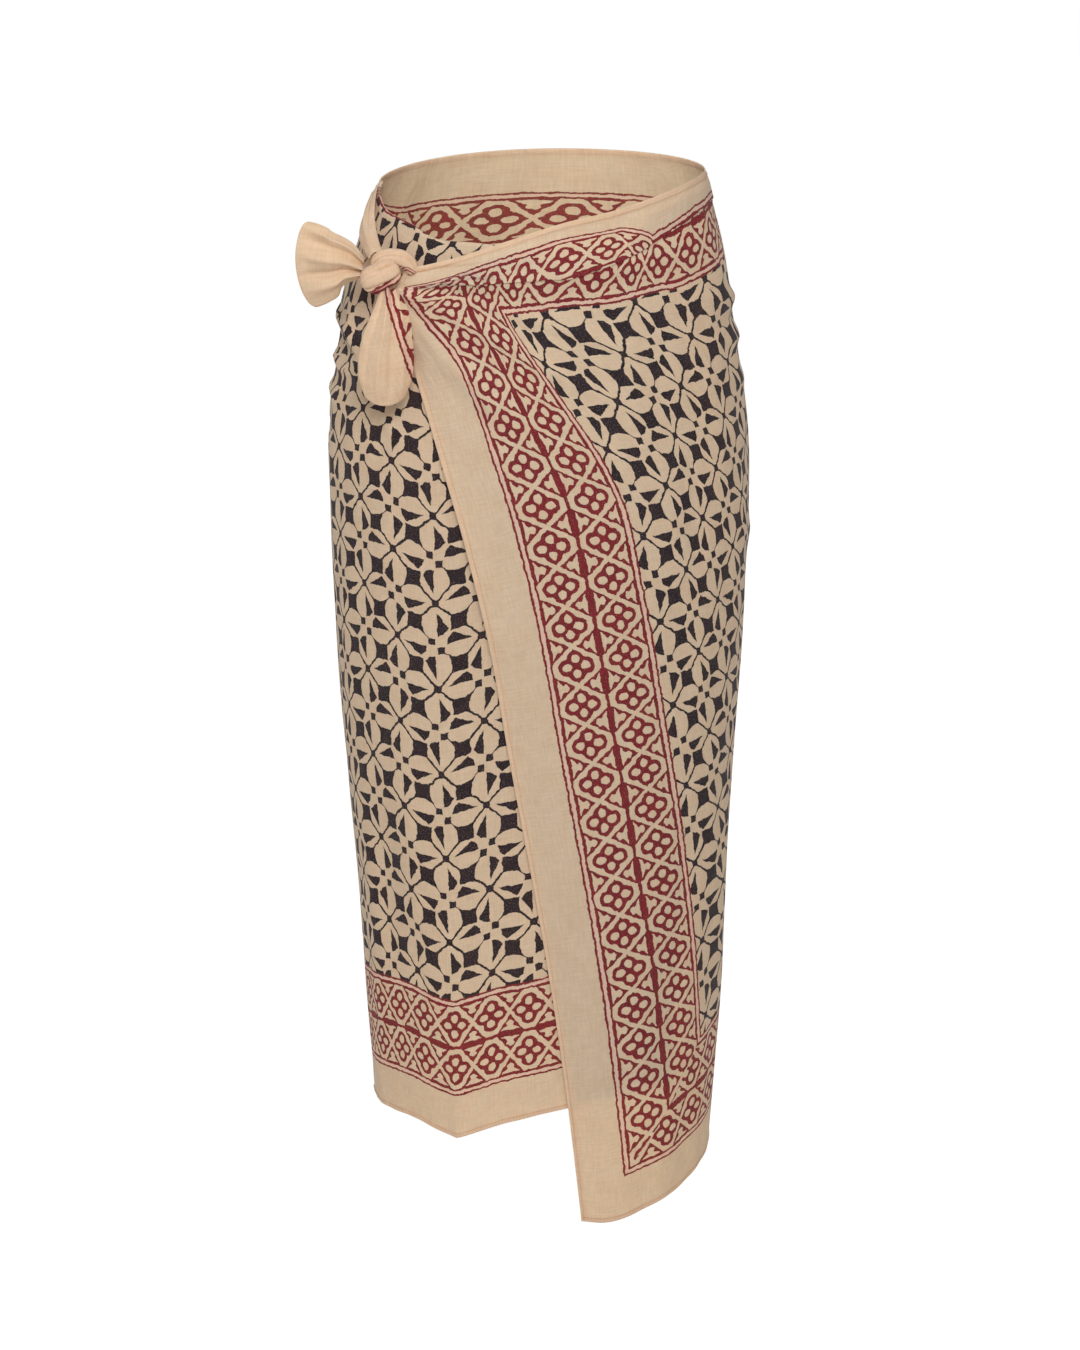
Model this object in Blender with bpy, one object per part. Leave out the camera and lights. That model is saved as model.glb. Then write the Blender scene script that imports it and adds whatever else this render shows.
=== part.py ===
"""A hand block printed cotton sarong, wound once round the body and tied at the hip.

One length of cloth is worn as a wrap skirt. Every stretch of it that shows is a wall of its
own: the inner end over the front, the stretch round the back, and the outer end with its free
side edge. Its top corner is gathered into a knot, with a strap of the top margin running in
from the rim, a short fan end and a hanging end.

Frame: metres, +X to the wearer's left, +Y to the back, +Z up. The origin is the centre of the
waist ring. An angle round the body is 0 at the front, 90 at +X and 180 at the back.
"""
import math

import bpy
import numpy as np

CLOTH_WALL = 0.0014
HEM_WALL = 0.0024
HEM_WIDTH = 0.006
SEAM_GAP = 0.0006
TIE_WALL = 0.0016

# Level sections of the wound cloth, from the hem to the waist.
SECTIONS = np.array(
    [
        (-0.960, -0.1460, 0.1540, 0.118, 0.120),
        (-0.800, -0.1570, 0.1620, 0.118, 0.121),
        (-0.660, -0.1652, 0.1692, 0.119, 0.123),
        (-0.540, -0.1748, 0.1755, 0.121, 0.127),
        (-0.420, -0.1820, 0.1820, 0.124, 0.132),
        (-0.300, -0.1870, 0.1860, 0.127, 0.136),
        (-0.210, -0.1860, 0.1820, 0.127, 0.134),
        (-0.160, -0.1775, 0.1750, 0.125, 0.130),
        (-0.110, -0.1735, 0.1685, 0.122, 0.125),
        (-0.060, -0.1600, 0.1600, 0.117, 0.117),
        (-0.020, -0.1450, 0.1495, 0.111, 0.111),
        (0.020, -0.1320, 0.1400, 0.107, 0.106),
    ],
    dtype=[("z", float), ("left", float), ("right", float), ("front", float), ("rear", float)],
)

# The free side edge of the outer end, from its bottom corner to the knot.
FLAP_EDGE = np.array(
    [
        (-0.945, 12.8),
        (-0.770, 5.4),
        (-0.640, -1.2),
        (-0.500, -8.4),
        (-0.330, -17.4),
        (-0.210, -28.0),
        (-0.145, -37.0),
        (-0.094, -42.6),
        (-0.060, -42.6),
    ],
    dtype=[("z", float), ("angle", float)],
)

OVER_TOP = np.array(
    [
        (-42.6, -0.0615),
        (-28.0, -0.0500),
        (-12.0, -0.0340),
        (6.0, -0.0180),
        (25.0, -0.0085),
        (38.0, -0.0020),
        (60.0, 0.0060),
        (96.0, 0.0050),
    ],
    dtype=[("angle", float), ("z", float)],
)

OVER_HEM = np.array(
    [(12.8, -0.945), (44.0, -0.932), (62.0, -0.919), (96.0, -0.898)],
    dtype=[("angle", float), ("z", float)],
)

BACK_TOP = np.array(
    [(96.0, 0.0050), (150.0, 0.0025), (200.0, 0.0000), (264.0, -0.0060)],
    dtype=[("angle", float), ("z", float)],
)

BACK_HEM = np.array(
    [(96.0, -0.898), (180.0, -0.880), (264.0, -0.864)],
    dtype=[("angle", float), ("z", float)],
)

UNDER_TOP = np.array(
    [
        (-96.0, -0.0070),
        (-80.0, -0.0150),
        (-65.0, -0.0230),
        (-50.0, -0.0270),
        (-38.0, -0.0360),
        (-22.0, -0.0370),
        (0.0, -0.0400),
        (46.0, -0.0400),
    ],
    dtype=[("angle", float), ("z", float)],
)

UNDER_HEM = np.array(
    [
        (-96.0, -0.864),
        (-66.0, -0.8575),
        (-48.0, -0.8560),
        (-29.0, -0.8600),
        (-12.0, -0.8450),
        (7.0, -0.8310),
        (46.0, -0.8200),
    ],
    dtype=[("angle", float), ("z", float)],
)

RIGHT_SEAM = 96.0
LEFT_SEAM = 264.0
UNDER_END = 46.0

# How far the outer end stands off the inner one, over the angles where it lies on it.
FLAP_LIFT = 0.0042
FLAP_LIFT_FROM = 50.0
FLAP_LIFT_TO = 88.0

# Folds that leave the knot over the outer end: turned down from level, in degrees.
KNOT_ANGLE = -46.0
KNOT_Z = -0.078
FOLDS = np.array(
    [
        (-7.0, 0.330, 0.0050, 0.012),
        (8.0, 0.110, 0.0032, 0.008),
        (20.0, 0.125, 0.0034, 0.009),
        (32.0, 0.120, 0.0034, 0.009),
        (47.0, 0.200, 0.0060, 0.011),
        (62.0, 0.120, 0.0030, 0.008),
    ],
    dtype=[("down", float), ("reach", float), ("height", float), ("width", float)],
)
FOLD_RADIUS = 0.150
NECK_LIFT = 0.0105
NECK_REACH = 0.070

# The pleat that stands out of the inner end and makes a point at its hem.
PLEAT_ANGLE = -29.0
PLEAT_WIDTH = 9.0
PLEAT_HEIGHT = 0.0075
PLEAT_TOP = -0.700
PLEAT_BOTTOM = -0.860

TURN_IN = 0.030
TURN_RADIUS = 0.0021

COTTON_FIELD = (0.060, 0.048, 0.066)
COTTON_BAND = (0.270, 0.020, 0.036)
COTTON_PLAIN = (0.680, 0.500, 0.330)
COTTON_ROUGHNESS = 0.85


def smooth(table, key, column, at):
    """Read a table's column at a key value, along a smooth curve through its rows."""
    xs = table[key]
    ys = table[column]
    slopes = np.gradient(ys, xs)
    at = float(np.clip(at, xs[0], xs[-1]))
    row = int(np.clip(np.searchsorted(xs, at) - 1, 0, len(xs) - 2))
    span = xs[row + 1] - xs[row]
    t = (at - xs[row]) / span
    start = (2 * t**3 - 3 * t**2 + 1) * ys[row] + (t**3 - 2 * t**2 + t) * span * slopes[row]
    end = (3 * t**2 - 2 * t**3) * ys[row + 1] + (t**3 - t**2) * span * slopes[row + 1]
    return float(start + end)


def ease(low, high, value):
    """Rise smoothly from 0 at low to 1 at high."""
    t = min(max((value - low) / (high - low), 0.0), 1.0)
    return t * t * (3.0 - 2.0 * t)


def body_point(angle, z, lift=0.0):
    """A point of the wound cloth's outer face, moved out by lift."""
    left = smooth(SECTIONS, "z", "left", z)
    right = smooth(SECTIONS, "z", "right", z)
    turn = math.radians(angle)
    depth = smooth(SECTIONS, "z", "front" if math.cos(turn) > 0.0 else "rear", z)
    half = 0.5 * (right - left)
    normal = np.array([math.sin(turn) * depth, -math.cos(turn) * half])
    normal /= np.linalg.norm(normal)
    x = 0.5 * (left + right) + half * math.sin(turn) + lift * normal[0]
    y = -depth * math.cos(turn) + lift * normal[1]
    return np.array([x, y, z])


def knot_folds(angle, z):
    """Height of the cloth drawn out to the knot, and of the folds that radiate from it."""
    across = FOLD_RADIUS * math.radians(angle - KNOT_ANGLE)
    down = KNOT_Z - z
    reach = math.hypot(across, down)
    turn = math.atan2(down, across)
    height = NECK_LIFT * (1.0 - ease(0.0, NECK_REACH, reach))
    for fold in FOLDS:
        aside = reach * math.sin(turn - math.radians(fold["down"]))
        width = fold["width"] * (0.35 + 0.65 * ease(0.0, 0.08, reach))
        fade = ease(0.0, 0.022, reach) * (1.0 - ease(0.45, 1.0, reach / fold["reach"]))
        height += fold["height"] * fade * math.exp(-((aside / width) ** 2))
    return height


def over_point(s, t):
    """Outer end: s from the free edge to the side seam, t from the hem to the top."""
    seam = RIGHT_SEAM - seam_angle()
    edge_z = OVER_HEM["z"][0] + t * (OVER_TOP["z"][0] - OVER_HEM["z"][0])
    edge_angle = smooth(FLAP_EDGE, "z", "angle", edge_z)
    first = FLAP_EDGE["angle"][0]
    last = FLAP_EDGE["angle"][-1]
    hem_angle = first + s * (seam - first)
    top_angle = last + s * (seam - last)
    hem_z = smooth(OVER_HEM, "angle", "z", hem_angle)
    top_z = smooth(OVER_TOP, "angle", "z", top_angle)
    seam_z = OVER_HEM["z"][-1] + t * (OVER_TOP["z"][-1] - OVER_HEM["z"][-1])
    corners_angle = (1 - s) * ((1 - t) * first + t * last) + s * seam
    angle = (1 - s) * edge_angle + s * seam + (1 - t) * hem_angle + t * top_angle - corners_angle
    low = (1 - s) * OVER_HEM["z"][0] + s * OVER_HEM["z"][-1]
    high = (1 - s) * OVER_TOP["z"][0] + s * OVER_TOP["z"][-1]
    sides = (1 - s) * edge_z + s * seam_z
    z = sides + (1 - t) * hem_z + t * top_z - ((1 - t) * low + t * high)
    lift = FLAP_LIFT * (1.0 - ease(FLAP_LIFT_FROM, FLAP_LIFT_TO, angle))
    return body_point(angle, z, lift + knot_folds(angle, z))


def back_point(s, t):
    """Stretch round the back: s from the right seam to the left one, t from hem to rim."""
    low = RIGHT_SEAM + seam_angle()
    high = LEFT_SEAM - seam_angle()
    angle = low + s * (high - low)
    hem_z = smooth(BACK_HEM, "angle", "z", angle)
    rim_z = smooth(BACK_TOP, "angle", "z", angle)
    return body_point(angle, hem_z + t * (rim_z - hem_z))


def under_point(s, t):
    """Inner end: t from the hem to the fold at its top, and from 1 to 2 round and down inside."""
    low = LEFT_SEAM - 360.0 + seam_angle()
    angle = low + s * (UNDER_END - low)
    hem_z = smooth(UNDER_HEM, "angle", "z", angle)
    fold_z = smooth(UNDER_TOP, "angle", "z", angle) - TURN_RADIUS
    if t > 1.0:
        arc = math.pi * TURN_RADIUS
        gone = (t - 1.0) * (arc + TURN_IN)
        turn = min(gone / TURN_RADIUS, math.pi)
        drop = max(gone - arc, 0.0)
        z = fold_z + TURN_RADIUS * math.sin(turn) - drop
        return body_point(angle, z, -TURN_RADIUS * (1.0 - math.cos(turn)))
    z = hem_z + t * (fold_z - hem_z)
    out = PLEAT_HEIGHT * ease(PLEAT_TOP, PLEAT_BOTTOM, z) if z < PLEAT_TOP else 0.0
    out *= math.exp(-(((angle - PLEAT_ANGLE) / PLEAT_WIDTH) ** 2))
    return body_point(angle, z, out)


def seam_angle():
    """Half of the gap between two stretches, as an angle."""
    return math.degrees(0.5 * SEAM_GAP / SECTIONS["right"].min())


def cloth_wall(name, colour, surface, columns, rows, walls):
    """A closed wall: the outer face is surface(s, t), the inner one lies a wall behind it."""
    step = 1e-4
    outer = []
    inner = []
    for j, t in enumerate(rows):
        for i, s in enumerate(columns):
            point = surface(s, t)
            along_s = surface(min(s + step, columns[-1]), t) - surface(max(s - step, 0.0), t)
            along_t = surface(s, min(t + step, rows[-1])) - surface(s, max(t - step, rows[0]))
            normal = np.cross(along_s, along_t)
            normal /= np.linalg.norm(normal)
            outer.append(point)
            inner.append(point - normal * walls[j][i])
    across = len(columns)
    count = len(outer)
    faces = []
    for j in range(len(rows) - 1):
        for i in range(across - 1):
            a = j * across + i
            faces.append((a, a + 1, a + across + 1, a + across))
            faces.append((count + a, count + a + across, count + a + across + 1, count + a + 1))
    low = list(range(across))
    high = [(len(rows) - 1) * across + i for i in range(across)]
    first = [j * across for j in range(len(rows))]
    last = [j * across + across - 1 for j in range(len(rows))]
    for border, flip in ((low, False), (last, False), (high, True), (first, True)):
        for a, b in zip(border[:-1], border[1:]):
            if flip:
                a, b = b, a
            faces.append((b, a, count + a, count + b))
    return add_mesh(name, colour, outer + inner, faces)


def add_mesh(name, colour, points, faces):
    """Make an object of its own, smooth shaded, with its own material."""
    mesh = bpy.data.meshes.new(name)
    mesh.from_pydata([tuple(map(float, point)) for point in points], [], faces)
    mesh.update()
    mesh.shade_smooth()
    material = bpy.data.materials.new(name + "_cotton")
    material.use_nodes = True
    shader = material.node_tree.nodes["Principled BSDF"]
    shader.inputs["Base Color"].default_value = (*colour, 1.0)
    shader.inputs["Roughness"].default_value = COTTON_ROUGHNESS
    shader.inputs["Metallic"].default_value = 0.0
    mesh.materials.append(material)
    item = bpy.data.objects.new(name, mesh)
    bpy.context.scene.collection.objects.link(item)
    return item


def spaced(count, power=1.0):
    """Count + 1 values from 0 to 1, closer together near 0 when power is above 1."""
    return [(i / count) ** power for i in range(count + 1)]


def hemmed(values, length, at_low, at_high):
    """Add the two lines of a rolled hem to a list of places along a length."""
    lines = list(values)
    margin = HEM_WIDTH / length
    step = 0.0015 / length
    if at_low:
        lines = [0.0, margin, margin + step] + [v for v in lines if v > 2.0 * margin]
    if at_high:
        lines = [v for v in lines if v < 1.0 - 2.0 * margin] + [1.0 - margin - step, 1.0 - margin, 1.0]
    return lines


def wall_grid(columns, rows, hem_columns, hem_rows):
    """The wall at every grid point: thicker in the rolled hem's columns and rows."""
    grid = []
    for t in rows:
        grid.append([HEM_WALL if s in hem_columns or t in hem_rows else CLOTH_WALL for s in columns])
    return grid


def make_over_front():
    height = OVER_TOP["z"][-1] - OVER_HEM["z"][-1]
    width = 0.36
    columns = hemmed(spaced(20, 1.35), width, True, False)
    rows = [1.0 - v for v in reversed(spaced(34, 1.45))]
    rows = hemmed(rows, height, True, True)
    walls = wall_grid(columns, rows, columns[:2], rows[:2] + rows[-2:])
    return cloth_wall("over_front", COTTON_BAND, over_point, columns, rows, walls)


def make_back():
    height = BACK_TOP["z"][0] - BACK_HEM["z"][0]
    columns = spaced(18)
    rows = hemmed(spaced(26), height, True, True)
    walls = wall_grid(columns, rows, (), rows[:2] + rows[-2:])
    return cloth_wall("back", COTTON_FIELD, back_point, columns, rows, walls)


def make_under_front():
    height = UNDER_TOP["z"][0] - UNDER_HEM["z"][0]
    width = 0.38
    columns = hemmed(spaced(22), width, False, True)
    rows = hemmed(spaced(30), height, True, False)
    arc = math.pi * TURN_RADIUS / (math.pi * TURN_RADIUS + TURN_IN)
    rows += [1.0 + arc * k / 5 for k in range(1, 6)]
    rows += [1.0 + arc + (1.0 - arc) * k / 2 for k in range(1, 3)]
    walls = wall_grid(columns, rows, columns[-2:], rows[:2])
    return cloth_wall("under_front", COTTON_FIELD, under_point, columns, rows, walls)


# Strips of cloth at the knot, by sections along their routes. An angle of 0 turns a section's
# width upright, and 90 turns it level, towards +X.
RIBBON = [
    ("t", float),
    ("x", float),
    ("y", float),
    ("z", float),
    ("half", float),
    ("bow", float),
    ("turn", float),
]

STRAP = np.array(
    [
        (0.00, -0.1447, -0.0060, -0.0140, 0.0105, 0.0008, 202.0),
        (0.30, -0.1480, -0.0290, -0.0240, 0.0095, 0.0025, 212.0),
        (0.60, -0.1490, -0.0530, -0.0350, 0.0090, 0.0040, 228.0),
        (0.85, -0.1455, -0.0760, -0.0440, 0.0080, 0.0045, 242.0),
        (1.00, -0.1405, -0.0930, -0.0505, 0.0065, 0.0040, 250.0),
    ],
    dtype=RIBBON,
)

EAR = np.array(
    [
        (0.00, -0.1521, -0.0970, -0.0610, 0.0090, 0.0055, 0.0),
        (0.25, -0.1660, -0.0980, -0.0570, 0.0210, 0.0085, 0.0),
        (0.55, -0.1790, -0.0990, -0.0570, 0.0315, 0.0085, 0.0),
        (0.80, -0.1890, -0.0960, -0.0575, 0.0360, 0.0080, 0.0),
        (1.00, -0.1950, -0.0940, -0.0580, 0.0375, 0.0075, 0.0),
    ],
    dtype=RIBBON,
)
EAR_BULGE = 0.0120

TAIL = np.array(
    [
        (0.00, -0.1285, -0.1065, -0.0778, 0.0080, 0.0040, -90.0),
        (0.20, -0.1275, -0.1200, -0.0960, 0.0165, 0.0070, -90.0),
        (0.50, -0.1310, -0.1225, -0.1280, 0.0235, 0.0090, -90.0),
        (0.75, -0.1330, -0.1215, -0.1510, 0.0215, 0.0085, -90.0),
        (1.00, -0.1340, -0.1200, -0.1660, 0.0140, 0.0070, -90.0),
    ],
    dtype=RIBBON,
)
TAIL_BULGE = 0.0085


def route_point(table, t):
    return np.array([smooth(table, "t", axis, t) for axis in ("x", "y", "z")])


def route_tangent(table, t):
    step = route_point(table, min(t + 0.02, 1.0)) - route_point(table, max(t - 0.02, 0.0))
    return step / np.linalg.norm(step)


def ribbon_point(table, bulge, s, t):
    """A bowed strip of cloth: s across it and t along it. Its far end bulges out."""
    turn = math.radians(smooth(table, "t", "turn", t))
    along = route_tangent(table, t)
    across = np.array([math.sin(turn), 0.0, math.cos(turn)])
    across -= along * np.dot(across, along)
    across /= np.linalg.norm(across)
    out = np.cross(across, along)
    side = 2.0 * s - 1.0
    crown = 1.0 - side**2
    half = smooth(table, "t", "half", t)
    bow = smooth(table, "t", "bow", t)
    return route_point(table, t) + half * side * across + crown * (bow * out + bulge * t * t * along)


def strap_point(s, t):
    return ribbon_point(STRAP, 0.0, s, t)


def ear_point(s, t):
    return ribbon_point(EAR, EAR_BULGE, s, t)


def tail_point(s, t):
    return ribbon_point(TAIL, TAIL_BULGE, s, t)


def make_tie(name, surface, columns, rows):
    walls = [[TIE_WALL] * (columns + 1) for _ in range(rows + 1)]
    return cloth_wall(name, COTTON_PLAIN, surface, spaced(columns), spaced(rows), walls)


# The knot: a band that crosses its front and a loop that arches over it. Each is a bundle of
# folded cloth, given by sections along its length.
BUNDLE = [
    ("t", float),
    ("x", float),
    ("y", float),
    ("z", float),
    ("tall", float),
    ("deep", float),
]

WRAP = np.array(
    [
        (0.00, -0.1510, -0.1010, -0.0725, 0.0050, 0.0060),
        (0.15, -0.1480, -0.1015, -0.0712, 0.0090, 0.0100),
        (0.50, -0.1365, -0.1020, -0.0670, 0.0105, 0.0125),
        (0.85, -0.1245, -0.1010, -0.0632, 0.0088, 0.0100),
        (1.00, -0.1215, -0.1000, -0.0622, 0.0045, 0.0060),
    ],
    dtype=BUNDLE,
)

LOOP = np.array(
    [
        (0.00, -0.1425, -0.0960, -0.0545, 0.0025, 0.0040),
        (0.20, -0.1370, -0.0970, -0.0525, 0.0035, 0.0060),
        (0.50, -0.1240, -0.0970, -0.0501, 0.0039, 0.0065),
        (0.80, -0.1120, -0.0965, -0.0508, 0.0036, 0.0050),
        (1.00, -0.1090, -0.0985, -0.0584, 0.0025, 0.0030),
    ],
    dtype=BUNDLE,
)


def make_bundle(name, table, stations, sides):
    """A folded bundle of cloth: rounded sections square to its route, closed at both ends."""
    points = []
    for k in range(stations + 1):
        t = k / stations
        along = route_tangent(table, t)
        centre = route_point(table, t)
        front = np.array([0.0, -1.0, 0.0])
        front -= along * np.dot(front, along)
        front /= np.linalg.norm(front)
        up = np.cross(front, along)
        tall = smooth(table, "t", "tall", t)
        deep = smooth(table, "t", "deep", t)
        for i in range(sides):
            turn = 2.0 * math.pi * i / sides
            points.append(centre + tall * math.cos(turn) * up + deep * math.sin(turn) * front)
    faces = []
    for k in range(stations):
        for i in range(sides):
            a = k * sides + i
            b = k * sides + (i + 1) % sides
            faces.append((a, b, b + sides, a + sides))
    faces.append(tuple(reversed(range(sides))))
    faces.append(tuple(stations * sides + i for i in range(sides)))
    return add_mesh(name, COTTON_PLAIN, points, faces)


def main():
    for item in list(bpy.data.objects):
        bpy.data.objects.remove(item, do_unlink=True)
    make_over_front()
    make_back()
    make_under_front()
    make_tie("strap", strap_point, 6, 10)
    make_tie("ear", ear_point, 10, 8)
    make_tie("tail", tail_point, 8, 10)
    make_bundle("knot_wrap", WRAP, 8, 14)
    make_bundle("knot_loop", LOOP, 8, 10)


if __name__ == "__main__":
    main()
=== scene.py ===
"""Visual model of a hand block printed cotton sarong, tied at the hip.

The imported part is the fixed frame. Every stretch of the wound cloth is a thin shell over its own
solid, with the tucks, creases and rolled hems that a solid wall leaves out, and with the cloth's
own measure as its UV map, so that the printed border and field lie on it as they were stamped.

Frame: metres, +X to the wearer's left, +Y to the back, +Z up. An angle round the body is 0 at the
front, 90 at +X and 180 at the back. On the cloth, u runs in from the free side edge and v runs up
from the hem, both in metres.
"""

import math
from functools import partial

import bmesh
import bpy
import numpy as np
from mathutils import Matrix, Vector


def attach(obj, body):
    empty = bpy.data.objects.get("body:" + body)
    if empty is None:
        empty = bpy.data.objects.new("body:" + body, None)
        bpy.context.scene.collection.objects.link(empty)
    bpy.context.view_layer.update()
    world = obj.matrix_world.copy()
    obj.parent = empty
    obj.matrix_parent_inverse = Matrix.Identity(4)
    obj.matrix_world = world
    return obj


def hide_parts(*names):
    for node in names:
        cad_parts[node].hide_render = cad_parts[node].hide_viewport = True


bl_info = {
    "name": "Block printed sarong",
    "version": (1, 0, 0),
    "blender": (4, 5, 0),
    "location": "View3D > Sidebar > Sarong",
    "description": "Builds a block printed cotton sarong, tied at the hip, over its packed solids",
    "category": "Object",
}

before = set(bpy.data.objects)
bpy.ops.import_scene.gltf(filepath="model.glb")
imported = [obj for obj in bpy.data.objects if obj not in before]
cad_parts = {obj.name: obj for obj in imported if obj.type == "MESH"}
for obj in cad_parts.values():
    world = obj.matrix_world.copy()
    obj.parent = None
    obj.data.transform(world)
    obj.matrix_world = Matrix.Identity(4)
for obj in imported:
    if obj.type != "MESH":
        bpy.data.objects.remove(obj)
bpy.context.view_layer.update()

# The wound cloth: the same sections, edges and folds as its solids.
SECTIONS = np.array(
    [
        (-0.960, -0.1460, 0.1540, 0.118, 0.120),
        (-0.800, -0.1570, 0.1620, 0.118, 0.121),
        (-0.660, -0.1652, 0.1692, 0.119, 0.123),
        (-0.540, -0.1748, 0.1755, 0.121, 0.127),
        (-0.420, -0.1820, 0.1820, 0.124, 0.132),
        (-0.300, -0.1870, 0.1860, 0.127, 0.136),
        (-0.210, -0.1860, 0.1820, 0.127, 0.134),
        (-0.160, -0.1775, 0.1750, 0.125, 0.130),
        (-0.110, -0.1735, 0.1685, 0.122, 0.125),
        (-0.060, -0.1600, 0.1600, 0.117, 0.117),
        (-0.020, -0.1450, 0.1495, 0.111, 0.111),
        (0.020, -0.1320, 0.1400, 0.107, 0.106),
    ],
    dtype=[("z", float), ("left", float), ("right", float), ("front", float), ("rear", float)],
)
FLAP_EDGE = np.array(
    [
        (-0.945, 12.8),
        (-0.770, 5.4),
        (-0.640, -1.2),
        (-0.500, -8.4),
        (-0.330, -17.4),
        (-0.210, -28.0),
        (-0.145, -37.0),
        (-0.094, -42.6),
        (-0.060, -42.6),
    ],
    dtype=[("z", float), ("angle", float)],
)
EDGE_ROW = [("angle", float), ("z", float)]
OVER_TOP = np.array(
    [
        (-42.6, -0.0615),
        (-28.0, -0.0500),
        (-12.0, -0.0340),
        (6.0, -0.0180),
        (25.0, -0.0085),
        (38.0, -0.0020),
        (60.0, 0.0060),
        (96.0, 0.0050),
    ],
    dtype=EDGE_ROW,
)
OVER_HEM = np.array(
    [(12.8, -0.9405), (20.5, -0.9440), (44.0, -0.932), (62.0, -0.919), (96.0, -0.898)],
    dtype=EDGE_ROW,
)
BACK_TOP = np.array(
    [(96.0, 0.0050), (150.0, 0.0025), (200.0, 0.0000), (264.0, -0.0060)], dtype=EDGE_ROW
)
BACK_HEM = np.array([(96.0, -0.898), (180.0, -0.880), (264.0, -0.864)], dtype=EDGE_ROW)
UNDER_TOP = np.array(
    [
        (-96.0, -0.0070),
        (-80.0, -0.0150),
        (-65.0, -0.0230),
        (-50.0, -0.0270),
        (-38.0, -0.0360),
        (-22.0, -0.0370),
        (0.0, -0.0400),
        (46.0, -0.0400),
    ],
    dtype=EDGE_ROW,
)
UNDER_HEM = np.array(
    [
        (-96.0, -0.864),
        (-66.0, -0.8575),
        (-48.0, -0.8560),
        (-29.0, -0.8600),
        (-12.0, -0.8450),
        (7.0, -0.8310),
        (46.0, -0.8200),
    ],
    dtype=EDGE_ROW,
)
# Where the stretches meet, and where the inner end stops, in degrees.
RIGHT_SEAM = 96.0
LEFT_SEAM = 264.0
UNDER_END = 46.0

# The flap stands off the inner end by this much, and comes down on the body between two angles.
FLAP_LIFT = 0.0042
FLAP_LIFT_FROM = 50.0
FLAP_LIFT_TO = 88.0

# The knot's place, and the folds that run out of it: how many degrees down from level each runs,
# how far, how high and how wide.
KNOT_ANGLE = -46.0
KNOT_Z = -0.078
FOLDS = np.array(
    [
        (-7.0, 0.330, 0.0050, 0.012),
        (8.0, 0.110, 0.0032, 0.008),
        (20.0, 0.125, 0.0034, 0.009),
        (32.0, 0.120, 0.0034, 0.009),
        (47.0, 0.200, 0.0060, 0.011),
        (62.0, 0.120, 0.0030, 0.008),
    ],
    dtype=[("down", float), ("reach", float), ("height", float), ("width", float)],
)
FOLD_RADIUS = 0.150
NECK_LIFT = 0.0105
NECK_REACH = 0.070

# The inner end's pleat: it rises toward the hem to a sharp ridge, and draws the hem to a point.
PLEAT_ANGLE = -29.0
PLEAT_WIDTH = 9.0
PLEAT_HEIGHT = 0.0075
PLEAT_TOP = -0.700
PLEAT_BOTTOM = -0.860
PLEAT_EDGE = 0.08
PLEAT_FADE = 0.7
HEM_POINT = 0.0032
HEM_POINT_WIDTH = 6.0

# The inner end's top: how much of it is turned in, and the radius of its fold.
TURN_IN = 0.030
TURN_RADIUS = 0.0021

# The tuck across the border, by angle: how far below the rim its fold lies, how much of the
# cloth's top is turned in at the rim, how far from the cloth's top the fold itself lies, and how
# the cloth's height under the tuck compares with the body's.
TUCK = np.array(
    [
        (-42.6, 0.0180, 0.0260, 0.0460, 0.9750),
        (-27.0, 0.0220, 0.0285, 0.0505, 0.9720),
        (-3.0, 0.0390, 0.0270, 0.0680, 0.9888),
        (8.0, 0.0465, 0.0215, 0.0900, 0.9936),
        (19.0, 0.0430, 0.0155, 0.0900, 0.9994),
        (26.0, 0.0405, 0.0110, 0.0890, 0.9996),
        (31.0, 0.0385, 0.0100, 0.0700, 0.9998),
        (37.0, 0.0355, 0.0110, 0.0480, 1.0010),
        (42.0, 0.0330, 0.0135, 0.0475, 1.0040),
        (61.0, 0.0270, 0.0200, 0.0480, 1.0034),
        (78.0, 0.0245, 0.0220, 0.0480, 0.9977),
        (96.0, 0.0245, 0.0225, 0.0480, 0.9954),
        (130.0, 0.1250, 0.0000, 0.1250, 1.0000),
        (170.0, 0.1500, 0.0000, 0.1500, 1.0000),
        (264.0, 0.1500, 0.0000, 0.1500, 1.0000),
    ],
    dtype=[
        ("angle", float),
        ("below", float),
        ("turned", float),
        ("above", float),
        ("share", float),
    ],
)
# The tuck's depth stays this far from the rim, and is at least this much. Its layers lie a step
# apart, and the cloth comes back to the body over its spread. A bend takes up a little cloth.
TUCK_CLEAR = 0.012
TUCK_LEAST = 0.003
TUCK_STEP = 0.0009
TUCK_SPREAD = 0.022
BEND_V = 0.0004

# Extra width that the gathers take up near the free edge, by height, and where they start.
GATHER = np.array(
    [
        (-0.340, 0.0),
        (-0.250, 0.0),
        (-0.170, 0.026),
        (-0.130, 0.048),
        (-0.100, 0.070),
        (-0.060, 0.085),
    ],
    dtype=[("z", float), ("extra", float)],
)
GATHER_FROM = 0.035
GATHER_TO = 0.130
# Beyond the band, the gathers' width evens out into the field's, which grows up the cloth.
FIELD_EXTRA = 0.062
FIELD_LOW = -0.750
FIELD_HIGH = -0.080
FIELD_FROM = 0.140
FIELD_TO = 0.330
# At the neck by the knot, the top of the cloth's height runs out early, and its corner goes on
# into the knot.
NECK_BAND = 0.115
NECK_FROM = 0.950
NECK_CUT = 0.040
NECK_CUT_FROM = 0.880
NECK_CUT_REACH = 0.25

# Where the tuck has gone at the left, the rim's border is gathered into this much of the cloth.
GATHERED_TOP = 0.150

# The inner end's spare height is taken up between these two places on the cloth.
FOLD_V = 0.826
FOLD_V_FROM = 0.780

# On the inner end the print's columns keep to an angle of the body, from the left seam on.
UNDER_RADIUS = 0.168
LEFT_SEAM_U = 0.793
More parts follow.
